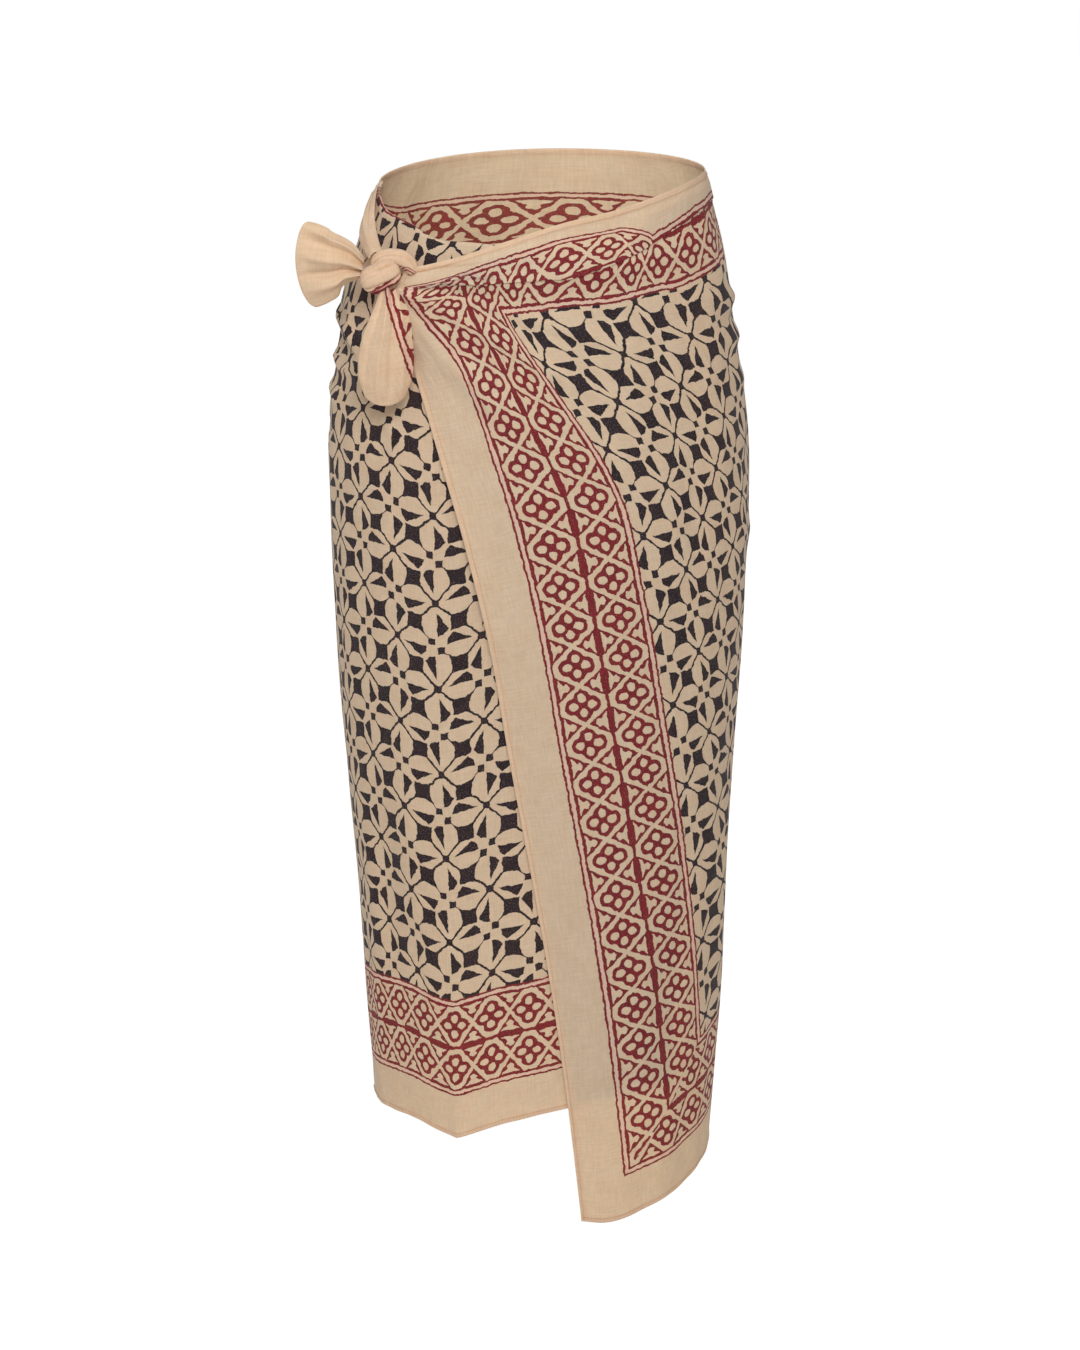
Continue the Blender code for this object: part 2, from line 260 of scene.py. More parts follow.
# At the back the columns stand upright above this level, and are wider there by this share.
BACK_LEVEL = 0.110
BACK_SPREAD = 0.36

# The outer end's height at its seam, and sizes that its and the inner end's grids are spaced by.
OVER_LENGTH = 0.9035
OVER_WIDTH = 0.36
UNDER_WIDTH = 0.38
UNDER_HEIGHT = 0.85
OVER_COLUMNS, OVER_ROWS = 128, 205
BACK_COLUMNS, BACK_ROWS = 120, 170
UNDER_COLUMNS, UNDER_ROWS = 100, 190
# How far the grids' rows are drawn up to the rim, and their columns to the free edge.
ROW_CROWD = 0.60
COLUMN_CROWD = -0.40

# The rolled hem: how much thicker it is than the cloth, the parts of that which its face and its
# whole take, and where lines run along it, in hem widths from the edge.
HEM_RISE = 0.0007
HEM_OUT = 0.6
HEM_THICKER = 1.1
HEM_PLACES = np.array([0.0, 0.08, 0.25, 0.5, 0.75, 0.92, 1.0, 1.04, 1.3])

# Creases: from one place of the body to another, in degrees and metres.
CREASE = [
    ("from_angle", float),
    ("from_z", float),
    ("to_angle", float),
    ("to_z", float),
    ("height", float),
    ("width", float),
]
OVER_CREASES = np.array(
    [
        (-30.0, -0.085, 22.0, -0.175, 0.0016, 0.0060),
        (-20.0, -0.080, 48.0, -0.150, 0.0014, 0.0050),
        (54.0, -0.088, 102.0, -0.116, 0.0024, 0.0064),
        (60.0, -0.116, 104.0, -0.128, -0.0016, 0.0056),
        (56.0, -0.132, 104.0, -0.146, 0.0020, 0.0066),
        (50.0, -0.160, 96.0, -0.185, 0.0016, 0.0090),
        (66.0, -0.300, 100.0, -0.330, 0.0012, 0.0120),
        (-32.0, -0.200, -6.0, -0.420, 0.0020, 0.0130),
        (-14.0, -0.420, -3.0, -0.425, -0.0006, 0.0030),
        (2.0, -0.690, 14.0, -0.700, -0.0006, 0.0030),
        (8.0, -0.860, 20.0, -0.866, -0.0006, 0.0030),
        (40.0, -0.420, 66.0, -0.700, 0.0016, 0.0220),
        (26.0, -0.620, 44.0, -0.930, 0.0018, 0.0220),
        (70.0, -0.560, 84.0, -0.890, 0.0016, 0.0220),
        (88.0, -0.300, 96.0, -0.700, -0.0014, 0.0200),
    ],
    dtype=CREASE,
)
# Small gathers that run out of the knot.
NECK_CREASES = np.array(
    [
        (-44.0, -0.066, -16.0, -0.052, -0.0020, 0.0020),
        (-44.0, -0.070, -10.0, -0.066, 0.0027, 0.0028),
        (-44.0, -0.074, -14.0, -0.080, -0.0027, 0.0026),
        (-44.0, -0.076, -22.0, -0.098, 0.0024, 0.0026),
        (-44.0, -0.080, -28.0, -0.114, -0.0027, 0.0024),
        (-44.0, -0.084, -31.0, -0.140, 0.0024, 0.0030),
        (-43.0, -0.090, -37.0, -0.170, -0.0020, 0.0036),
        (-38.0, -0.150, -28.0, -0.260, 0.0024, 0.0070),
    ],
    dtype=CREASE,
)
UNDER_CREASES = np.array(
    [
        (-98.0, -0.118, -62.0, -0.136, 0.0026, 0.0050),
        (-96.0, -0.140, -60.0, -0.152, -0.0022, 0.0046),
        (-98.0, -0.160, -62.0, -0.166, 0.0026, 0.0052),
        (-96.0, -0.186, -66.0, -0.196, 0.0022, 0.0065),
        (-98.0, -0.220, -72.0, -0.228, -0.0016, 0.0070),
        (-60.0, -0.120, -40.0, -0.230, 0.0020, 0.0080),
        (-74.0, -0.100, -58.0, -0.190, 0.0018, 0.0060),
        (-24.0, -0.300, -12.0, -0.760, -0.0028, 0.0160),
        (-42.0, -0.420, -34.0, -0.840, 0.0018, 0.0220),
        (-70.0, -0.360, -64.0, -0.820, 0.0016, 0.0220),
        (-56.0, -0.560, -52.0, -0.850, -0.0016, 0.0180),
        (-14.0, -0.620, 4.0, -0.830, 0.0016, 0.0180),
    ],
    dtype=CREASE,
)
BACK_CREASES = np.array(
    [
        (104.0, -0.200, 116.0, -0.880, 0.0022, 0.0230),
        (128.0, -0.320, 134.0, -0.880, -0.0020, 0.0200),
        (148.0, -0.240, 152.0, -0.880, 0.0026, 0.0240),
        (170.0, -0.400, 172.0, -0.880, -0.0020, 0.0210),
        (192.0, -0.260, 188.0, -0.880, 0.0024, 0.0240),
        (214.0, -0.360, 206.0, -0.870, -0.0020, 0.0200),
        (236.0, -0.280, 226.0, -0.870, 0.0024, 0.0240),
        (254.0, -0.420, 246.0, -0.870, -0.0018, 0.0200),
        (110.0, -0.160, 150.0, -0.190, 0.0016, 0.0080),
        (206.0, -0.175, 262.0, -0.200, 0.0018, 0.0080),
        (222.0, -0.215, 260.0, -0.235, 0.0016, 0.0090),
    ],
    dtype=CREASE,
)
CREASE_RADIUS = 0.165
CREASE_GAIN = 1.55

# The cloth's slow unevenness: waves across and down, with their phases, and for each stretch
# their height and step.
RIPPLES = ((1.0, 0.31, 0.4), (1.7, -0.22, 2.1), (2.6, 0.55, 4.0))
OVER_WAVES = (0.0007, 0.085)
BACK_WAVES = (0.0008, 0.100)
UNDER_WAVES = (0.0007, 0.080)

# Strips of cloth at the knot, by sections along their routes, as in the solids.
RIBBON = [
    ("t", float),
    ("x", float),
    ("y", float),
    ("z", float),
    ("half", float),
    ("bow", float),
    ("turn", float),
]
STRAP = np.array(
    [
        (0.00, -0.1447, -0.0060, -0.0140, 0.0105, 0.0008, 202.0),
        (0.30, -0.1480, -0.0290, -0.0240, 0.0095, 0.0025, 212.0),
        (0.60, -0.1490, -0.0530, -0.0350, 0.0090, 0.0040, 228.0),
        (0.85, -0.1455, -0.0760, -0.0440, 0.0080, 0.0045, 242.0),
        (1.00, -0.1405, -0.0930, -0.0505, 0.0065, 0.0040, 250.0),
    ],
    dtype=RIBBON,
)
EAR = np.array(
    [
        (0.00, -0.1521, -0.0970, -0.0610, 0.0090, 0.0055, 0.0),
        (0.25, -0.1660, -0.0980, -0.0570, 0.0210, 0.0085, 0.0),
        (0.55, -0.1790, -0.0990, -0.0570, 0.0315, 0.0085, 0.0),
        (0.80, -0.1890, -0.0960, -0.0575, 0.0360, 0.0080, 0.0),
        (1.00, -0.1950, -0.0940, -0.0580, 0.0375, 0.0075, 0.0),
    ],
    dtype=RIBBON,
)
EAR_BULGE = 0.0120
TAIL = np.array(
    [
        (0.00, -0.1285, -0.1065, -0.0778, 0.0080, 0.0040, -90.0),
        (0.20, -0.1275, -0.1200, -0.0960, 0.0165, 0.0070, -90.0),
        (0.50, -0.1310, -0.1225, -0.1280, 0.0235, 0.0090, -90.0),
        (0.75, -0.1325, -0.1215, -0.1500, 0.0232, 0.0085, -90.0),
        (1.00, -0.1330, -0.1200, -0.1625, 0.0190, 0.0070, -90.0),
    ],
    dtype=RIBBON,
)
TAIL_BULGE = 0.0115
BUNDLE = [
    ("t", float),
    ("x", float),
    ("y", float),
    ("z", float),
    ("tall", float),
    ("deep", float),
]
WRAP = np.array(
    [
        (0.00, -0.1500, -0.1010, -0.0745, 0.0060, 0.0060),
        (0.15, -0.1470, -0.1020, -0.0725, 0.0108, 0.0105),
        (0.50, -0.1365, -0.1030, -0.0665, 0.0122, 0.0130),
        (0.85, -0.1255, -0.1020, -0.0605, 0.0108, 0.0105),
        (1.00, -0.1225, -0.1005, -0.0590, 0.0060, 0.0065),
    ],
    dtype=BUNDLE,
)
LOOP = np.array(
    [
        (0.00, -0.1420, -0.0950, -0.0580, 0.0040, 0.0050),
        (0.20, -0.1365, -0.0970, -0.0530, 0.0068, 0.0070),
        (0.50, -0.1235, -0.0985, -0.0510, 0.0078, 0.0078),
        (0.80, -0.1125, -0.0985, -0.0560, 0.0072, 0.0070),
        (1.00, -0.1080, -0.0985, -0.0640, 0.0052, 0.0052),
    ],
    dtype=BUNDLE,
)

# Where the strips and bundles lie on the cloth. For a strip: u at its start and its span across,
# v at its start and its span along. The tail's own printed rule starts at a place and leans.
STRAP_ON_CLOTH = (0.038, -0.034, 0.40, 0.09)
EAR_ON_CLOTH = (0.002, 0.038, 0.30, 0.055)
TAIL_RULE_X = -0.1346
TAIL_RULE_Z = -0.0725
TAIL_RULE_V = 0.5
TAIL_LEAN = (0.956, 0.293)
STRIP_THICKER = 0.0002
WRAP_ON_CLOTH = (0.020, 0.053, 0.0)
LOOP_ON_CLOTH = (0.012, 0.040, 0.026)
BUNDLE_V = 0.6
BUNDLE_LENGTH = 0.05
GROOVE = [("place", float), ("drift", float), ("depth", float), ("width", float)]
WRAP_GROOVES = np.array(
    [
        (32.0, 0.5, 0.16, 0.11),
        (66.0, -0.3, 0.20, 0.09),
        (104.0, 0.4, 0.15, 0.11),
        (140.0, -0.2, 0.18, 0.10),
    ],
    dtype=GROOVE,
)
LOOP_GROOVES = np.array(
    [(28.0, 0.3, 0.18, 0.13), (76.0, -0.4, 0.22, 0.12), (126.0, 0.3, 0.18, 0.13)],
    dtype=GROOVE,
)

# Folds in the strips: where each starts and ends across the strip, its height and its width.
PLEAT_ROW = [("start", float), ("end", float), ("height", float), ("width", float)]
STRAP_FOLDS = np.array(
    [(0.30, 0.36, -0.0008, 0.05), (0.56, 0.52, 0.0009, 0.07), (0.78, 0.72, -0.0007, 0.05)],
    dtype=PLEAT_ROW,
)
EAR_FOLDS = np.array(
    [
        (0.86, 0.95, 0.0033, 0.040),
        (0.72, 0.82, -0.0045, 0.055),
        (0.56, 0.62, 0.0042, 0.060),
        (0.42, 0.38, -0.0054, 0.055),
        (0.26, 0.16, 0.0036, 0.055),
    ],
    dtype=PLEAT_ROW,
)
TAIL_FOLDS = np.array(
    [
        (0.22, 0.14, 0.0018, 0.055),
        (0.44, 0.40, -0.0028, 0.055),
        (0.60, 0.66, 0.0022, 0.055),
        (0.78, 0.88, -0.0016, 0.045),
    ],
    dtype=PLEAT_ROW,
)

# The stamped field, in flower repeats: one petal of a flower of four, seen along its own axis.
PETAL_CENTRE = 0.235
PETAL_LENGTH = 0.200
PETAL_WIDTH = 0.162
PETAL_GAP = 0.018
STAR = 0.042
WEDGE_SIDE = 0.012
WEDGE_SLOPE = 0.60
WEDGE_FOOT = 0.052
WEDGE_BASE = 0.390
WEDGE_LEAN = -0.25
BLOCK_ALONG = 0.447
BLOCK_ASIDE = 0.053
BLOCK_HALF = 0.040
JOIN_FROM = 0.450
JOIN_WIDTH = 0.160
LINK_FROM = 0.410

# The stamped border, in millimetres across and along one of its rows.
ROW_CENTRE = 22.5
LOZENGE_REPEAT = 36.0
LOZENGE_SLOPE = 0.718
LOZENGE_CUT = 19.2
LOZENGE_LINE = 1.9
MID_LINE = 1.6
RULE_FROM = 42.8
PINK_FROM = 44.8
PINK_TO = 48.0
# The flower in a lozenge: ellipses of ink and of bare petals, by their middles and half sizes.
ELLIPSE = [("along", float), ("across", float), ("half_along", float), ("half_across", float)]
FLOWER_LOBES = np.array([(0.0, 8.8, 7.3, 7.2), (7.2, 0.0, 7.0, 7.4)], dtype=ELLIPSE)
FLOWER_PETALS = np.array([(0.0, 8.2, 3.6, 4.3), (7.0, 0.0, 4.0, 3.6)], dtype=ELLIPSE)
FLOWER_REACH = 16.0
FLOWER_SLIT = 1.3
FLOWER_SLIT_SLOPE = 1.15
SCALLOP_REPEAT = 7.4
SCALLOP_DEPTH = 1.2
SCALLOP_OFF = 4.9
SCALLOP_EDGE = 0.2
MILLIMETRES = 1000.0

# The waver of the block's edge, and how the ink takes.
WAVER = 0.0032
WAVER_NOISE = {"Scale": 150.0, "Detail": 3.0, "Roughness": 0.6}
PATCH_NOISE = {"Scale": 55.0, "Detail": 4.0, "Roughness": 0.65}
SPECK_NOISE = {"Scale": 900.0, "Detail": 2.0, "Roughness": 0.7}
SPECK_RANGE = (0.60, 0.74, 0.0, 0.30)
BEIGE_TINTS = ((1.05, 1.05, 1.05, 1.05), (0.97, 0.88, 0.82, 1.0))
NAVY_TINTS = ((0.62, 0.62, 0.62, 0.62), (1.9, 1.9, 1.9, 1.9))
MAROON_TINTS = ((0.72, 0.72, 0.72, 0.72), (1.45, 1.45, 1.45, 1.45))

# The cotton: slubs to the metre across and along a thread, wrinkles, and the shader's values.
# Light from behind comes through it, so it scatters light a little.
SLUBS_ACROSS = 640.0
SLUBS_ALONG = 60.0
SLUB_NOISE = {"Scale": 1.0, "Detail": 3.0}
SLUB_RANGE = (0.70, 1.30)
SLUB_DARK = 0.93
SLUB_LIGHT = 1.06
SLUB_HEIGHT = 0.00012
WRINKLE_NOISE = {"Scale": 42.0, "Detail": 5.0, "Roughness": 0.55, "Distortion": 0.6}
WRINKLE_STRETCH = (1.0, 0.55, 1.0)
WRINKLE_HEIGHT = 0.0022
BUMP = 0.55
COTTON = {
    "Roughness": 0.88,
    "Specular IOR Level": 0.22,
    "Subsurface Weight": 0.45,
    "Subsurface Radius": (1.0, 0.8, 0.6),
    "Subsurface Scale": 0.0030,
    "Sheen Weight": 0.05,
    "Sheen Roughness": 0.5,
}
BACK_THROUGH = 0.03
# The back is made this much lighter: painted light, for light that reaches the inside of the wound
# cloth.
BACK_PAINTED_LIGHT = 1.20

# Hem stitches: rows of the cloth's grids that they follow, and their form.
HEM_LINE = 4
RIM_LINE = -5
STITCH_RADIUS = 0.00024
STITCH_SHARE = 0.66
STITCH_SIDES = 6
STITCH_LEAST = 0.85
STITCH_MOST = 1.10

# The studio: the paper's place and where its painted glow fades off, the air, the soft
# lamps, and the camera.
FLOOR_PLACE = (0.0, 2.0, -1.50)
FLOOR_SIZE = 9.0
PAPER_GLOW = (-1.9, -1.5, 0.0, 0.78)
AIR = 0.25
LAMPS = np.array(
    [
        ("key_light", 0.10, -3.0, 1.7, 1.1, 84.0),
        ("fill_light", -2.6, -2.2, 0.8, 2.0, 11.5),
        ("top_light", -0.2, -0.9, 2.2, 1.0, 9.0),
    ],
    dtype=[
        ("name", "U16"),
        ("x", float),
        ("y", float),
        ("z", float),
        ("size", float),
        ("power", float),
    ],
)
LAMP_AIM = (0.0, 0.0, -0.45)
CAMERA_PLACE = (0.0, -4.0, 0.842)
CAMERA_TILT = 72.0
CAMERA_LENS = 155.67


class SarongSizes(bpy.types.PropertyGroup):
    """Sizes of the cloth and of its hems."""

    cloth_width: bpy.props.FloatProperty(
        name="Cloth width", description="From hem to top, as cut", default=0.960, unit="LENGTH"
    )
    margin: bpy.props.FloatProperty(
        name="Plain margin",
        description="Unprinted cloth outside the border",
        default=0.044,
        unit="LENGTH",
    )
    border: bpy.props.FloatProperty(
        name="Border",
        description="Width of the printed border at a side",
        default=0.100,
        unit="LENGTH",
    )
    hem_share: bpy.props.FloatProperty(
        name="Hem border share", description="Hem border's width against the side's", default=0.92
    )
    flower: bpy.props.FloatProperty(
        name="Flower repeat",
        description="Side of the field's repeat",
        default=0.0795,
        unit="LENGTH",
    )
    flower_u: bpy.props.FloatProperty(
        name="Field start u",
        description="Where a flower stands, along u",
        default=0.0735,
        unit="LENGTH",
    )
    flower_v: bpy.props.FloatProperty(
        name="Field start v",
        description="Where a flower stands, along v",
        default=0.0689,
        unit="LENGTH",
    )
    cloth: bpy.props.FloatProperty(
        name="Cloth thickness",
        description="Thickness of the cotton",
        default=0.00045,
        unit="LENGTH",
    )
    hem: bpy.props.FloatProperty(
        name="Hem width", description="Width of the rolled hem", default=0.006, unit="LENGTH"
    )
    stitch: bpy.props.FloatProperty(
        name="Stitch",
        description="Length of one hem stitch with its gap",
        default=0.0032,
        unit="LENGTH",
    )


class SarongColours(bpy.types.PropertyGroup):
    """Colours of the cloth, its inks and its surroundings, as sRGB hex."""

    beige: bpy.props.StringProperty(name="Cloth", description="Tea dyed ground", default="D6BBA0")
    navy: bpy.props.StringProperty(name="Field ink", description="Dark blue ink", default="241B20")
    maroon: bpy.props.StringProperty(
        name="Border ink", description="Madder red ink", default="741E25"
    )
    pink: bpy.props.StringProperty(name="Rule ink", description="Pale pink ink", default="DDB59F")
    thread: bpy.props.StringProperty(name="Thread", description="Hem thread", default="C79B74")
    floor: bpy.props.StringProperty(name="Floor", description="Studio floor", default="F2F1EF")


def linear(code):
    """An sRGB hex value as linear red, green, blue and alpha."""
    parts = [int(code[i : i + 2], 16) / 255.0 for i in (0, 2, 4)]
    lit = (c / 12.92 if c <= 0.04045 else ((c + 0.055) / 1.055) ** 2.4 for c in parts)
    return (*lit, 1.0)


def tinted(code, tint):
    """An sRGB hex value as a linear colour, times a tint."""
    return tuple(c * k for c, k in zip(linear(code), tint))


def smooth(table, key, column, at):
    """Read a table's column at key values, along a smooth curve through its rows."""
    xs = table[key]
    ys = table[column]
    slopes = np.gradient(ys, xs)
    at = np.clip(at, xs[0], xs[-1])
    row = np.clip(np.searchsorted(xs, at) - 1, 0, len(xs) - 2)
    span = xs[row + 1] - xs[row]
    t = (at - xs[row]) / span
    start = (2 * t**3 - 3 * t**2 + 1) * ys[row] + (t**3 - 2 * t**2 + t) * span * slopes[row]
    end = (3 * t**2 - 2 * t**3) * ys[row + 1] + (t**3 - t**2) * span * slopes[row + 1]
    return start + end


def ease(low, high, value):
    """Rise smoothly from 0 at low to 1 at high."""
    t = np.clip((value - low) / (high - low), 0.0, 1.0)
    return t * t * (3.0 - 2.0 * t)


def body_point(angle, z, lift=0.0):
    """Points of the wound cloth's outer face, moved out by lift."""
    angle, z, lift = np.broadcast_arrays(angle, z, lift)
    left = smooth(SECTIONS, "z", "left", z)
    right = smooth(SECTIONS, "z", "right", z)
    turn = np.radians(angle)
    front = smooth(SECTIONS, "z", "front", z)
    rear = smooth(SECTIONS, "z", "rear", z)
    depth = np.where(np.cos(turn) > 0.0, front, rear)
    half = 0.5 * (right - left)
    out_x = np.sin(turn) * depth
    out_y = -np.cos(turn) * half
    length = np.hypot(out_x, out_y)
    x = 0.5 * (left + right) + half * np.sin(turn) + lift * out_x / length
    y = -depth * np.cos(turn) + lift * out_y / length
    return np.stack([x, y, z], axis=-1)


def knot_folds(angle, z):
    """Height of the cloth drawn out to the knot, and of the folds that radiate from it."""
    across = FOLD_RADIUS * np.radians(angle - KNOT_ANGLE)
    down = KNOT_Z - z
    reach = np.hypot(across, down)
    turn = np.arctan2(down, across)
    height = NECK_LIFT * (1.0 - ease(0.0, NECK_REACH, reach))
    for fold in FOLDS:
        aside = reach * np.sin(turn - math.radians(fold["down"]))
        width = fold["width"] * (0.35 + 0.65 * ease(0.0, 0.08, reach))
        fade = ease(0.0, 0.022, reach) * (1.0 - ease(0.45, 1.0, reach / fold["reach"]))
        height = height + fold["height"] * fade * np.exp(-((aside / width) ** 2))
    return height


def over_place(s, t):
    """Outer end: its angle and height, with s from the free edge and t from the hem."""
    seam = RIGHT_SEAM
    edge_z = OVER_HEM["z"][0] + t * (OVER_TOP["z"][0] - OVER_HEM["z"][0])
    edge_angle = smooth(FLAP_EDGE, "z", "angle", edge_z)
    first = FLAP_EDGE["angle"][0]
    last = FLAP_EDGE["angle"][-1]
    hem_angle = first + s * (seam - first)
    top_angle = last + s * (seam - last)
    hem_z = smooth(OVER_HEM, "angle", "z", hem_angle)
    top_z = smooth(OVER_TOP, "angle", "z", top_angle)
    seam_z = OVER_HEM["z"][-1] + t * (OVER_TOP["z"][-1] - OVER_HEM["z"][-1])
    corners_angle = (1 - s) * ((1 - t) * first + t * last) + s * seam
    angle = (1 - s) * edge_angle + s * seam + (1 - t) * hem_angle + t * top_angle - corners_angle
    low = (1 - s) * OVER_HEM["z"][0] + s * OVER_HEM["z"][-1]
    high = (1 - s) * OVER_TOP["z"][0] + s * OVER_TOP["z"][-1]
    sides = (1 - s) * edge_z + s * seam_z
    return angle, sides + (1 - t) * hem_z + t * top_z - ((1 - t) * low + t * high)


def creased(table, angle, z):
    """Height of a stretch's creases: soft ridges, or troughs where a height is below zero."""
    x = CREASE_RADIUS * np.radians(angle)
    height = np.zeros_like(x)
    for row in table:
        start = np.array([CREASE_RADIUS * math.radians(row["from_angle"]), row["from_z"]])
        run = np.array([CREASE_RADIUS * math.radians(row["to_angle"]), row["to_z"]]) - start
        length = math.hypot(*run)
        along = ((x - start[0]) * run[0] + (z - start[1]) * run[1]) / length**2
        bend = 0.25 * row["width"] * np.sin(9.0 * along + 40.0 * start[1])
        aside = ((x - start[0]) * run[1] - (z - start[1]) * run[0]) / length + bend
        inside = ease(-0.12, 0.30, along) * (1.0 - ease(0.70, 1.12, along))
        height += row["height"] * inside * np.exp(-((aside / row["width"]) ** 2))
    return height


def ripple(angle, z, height, step):
    """A slow unevenness of hanging cloth, longer down than across."""
    x = CREASE_RADIUS * np.radians(angle)
    waves = np.zeros_like(x)
    for k, (across, down, phase) in enumerate(RIPPLES):
        waves += np.sin(2.0 * math.pi * (across * x + down * z) / step + phase) / (k + 1.5)
    return height * waves


def hung(table, angle, z, waves):
    """Height of a stretch's creases together with its slow unevenness."""
    return CREASE_GAIN * creased(table, angle, z) + ripple(angle, z, *waves)


def hemmed(sizes, distance):
    """A rolled hem, by the distance from the cloth's edge: how far out it stands, and how thick
    the cloth is there."""
    inside = np.clip(distance / sizes.hem, 0.0, 1.0)
    bulge = np.sqrt(np.clip(1.0 - (2.0 * inside - 0.9) ** 4, 0.0, 1.0))
    rise = HEM_RISE * bulge * (distance < sizes.hem)
    return HEM_OUT * rise, sizes.cloth + HEM_THICKER * rise


def fine_lines(count, length, hem, low, high):
    """Count + 1 even places along a length, with close ones where a rolled hem ends."""
    lines = np.linspace(0.0, 1.0, count + 1)
    near = HEM_PLACES * hem / length
    gap = 0.3 * hem / length
    if low:
        lines = np.concatenate([near, lines[lines > near[-1] + gap]])
    if high:
        lines = np.concatenate([lines[lines < 1.0 - near[-1] - gap], 1.0 - near[::-1]])
    return lines


def crowd(lines, share):
    """Draw places toward the far end, or toward the near one where share is below zero."""
    return lines + share * lines * (1.0 - lines) * ease(0.02, 0.30, lines)


def grid_normals(points):
    """Unit normals of a grid of points, its rows up and its columns across."""
    across = np.gradient(points, axis=1)
    up = np.gradient(points, axis=0)
    normal = np.cross(across, up)
    length = np.linalg.norm(normal, axis=-1, keepdims=True)
    return normal / np.maximum(length, 1e-12)


def cloth_shell(name, points, thickness, uv, materials):
    """A closed shell of cloth: its face is the grid of points, its back lies a thickness behind."""
    rows, columns = points.shape[:2]
    back = points - grid_normals(points) * thickness[..., None]
    places = np.concatenate([points.reshape(-1, 3), back.reshape(-1, 3)])
    count = rows * columns
    index = np.arange(count).reshape(rows, columns)
    a, b = index[:-1, :-1].ravel(), index[:-1, 1:].ravel()
    c, d = index[1:, 1:].ravel(), index[1:, :-1].ravel()
    front = np.stack([a, b, c, d], axis=1)
    rear = np.stack([a, d, c, b], axis=1) + count
    sides = []
    for border in (index[0, ::-1], index[:, 0], index[-1], index[::-1, -1]):
        one, two = border[:-1], border[1:]
        sides.append(np.stack([one, two, two + count, one + count], axis=1))
    faces = np.concatenate([front, rear] + sides)
    mesh = bpy.data.meshes.new(name)
    mesh.from_pydata(places.tolist(), [], faces.tolist())
    slots = np.zeros(len(faces), dtype=np.int32)
    slots[len(front) : len(front) + len(rear)] = 1
    for material in materials:
        mesh.materials.append(material)
    mesh.polygons.foreach_set("material_index", slots)
    layer = mesh.uv_layers.new(name="cloth")
    both = np.concatenate([uv.reshape(-1, 2), uv.reshape(-1, 2)])
    layer.data.foreach_set("uv", both[faces.ravel()].ravel())
    mesh.shade_smooth()
    mesh.update()
    piece = bpy.data.objects.new(name, mesh)
    bpy.context.scene.collection.objects.link(piece)
    return piece


def tuck_at(sizes, angle, length, kept):
    """The tuck at angles round the body: how far its fold lies below the rim, the turned rim, the
    fold's place on the cloth, the cloth's share, and the tuck's depth where a part is kept."""
    below, turned, above, share = (
        np.interp(angle, TUCK["angle"], TUCK[key]) for key in ("below", "turned", "above", "share")
    )
    hidden = sizes.cloth_width - share * (length - below) - above
    depth = np.maximum(np.minimum(0.5 * hidden, below - TUCK_CLEAR), TUCK_LEAST)
    return below, turned, above, share, depth * kept


def tucked_rows(sizes, length, tuck, count):
    """Rows up a stretch with a tuck in it: the distance below the rim, the height on the cloth
    and how far each row stands off, all as arrays of rows by columns."""
    below, turned, above, share, depth = tuck
    bends = np.array([0.25, 0.5, 0.75, 1.0])
    top = below - depth
    top_v = share * (length - top)
    fold_v = sizes.cloth_width - above
    flat = 0.0 * below
    rows = []
    for f in crowd(fine_lines(count, float(np.mean(length)), sizes.hem, True, False), ROW_CROWD):
        here = length - f * (length - top)
        rows.append((here, share * (length - here), flat))
    for f in bends:
        turn = math.pi * f
        off = flat + 0.5 * TUCK_STEP * (1.0 - math.cos(turn))
        rows.append((top - 0.5 * TUCK_STEP * math.sin(turn), top_v + BEND_V * f, off))
    for f in (0.3, 0.6, 0.9, 1.0):
        rows.append((top + f * depth, top_v + f * (fold_v - top_v), flat + TUCK_STEP))
    for f in bends:
        turn = math.pi * f
        off = flat + TUCK_STEP + 0.5 * TUCK_STEP * (1.0 - math.cos(turn))
        rows.append((below + 0.5 * TUCK_STEP * math.sin(turn), fold_v + BEND_V * f, off))
    edge = HEM_PLACES[6::-1] * sizes.hem
    high = np.linspace(0.0, 1.0, max(int(count * 0.14), 10))[1:-1]
    rim = [below * (1.0 - f) + edge[0] * f for f in high] + [flat + place for place in edge]
    for here in rim:
        off = 1.0 - ease(0.0, 1.0, (top - here) / np.minimum(top, TUCK_SPREAD))
        v = sizes.cloth_width - turned - (above - turned) * here / below
        rows.append((here, v, 2.0 * TUCK_STEP * off))
    return tuple(np.array(column) for column in zip(*rows))


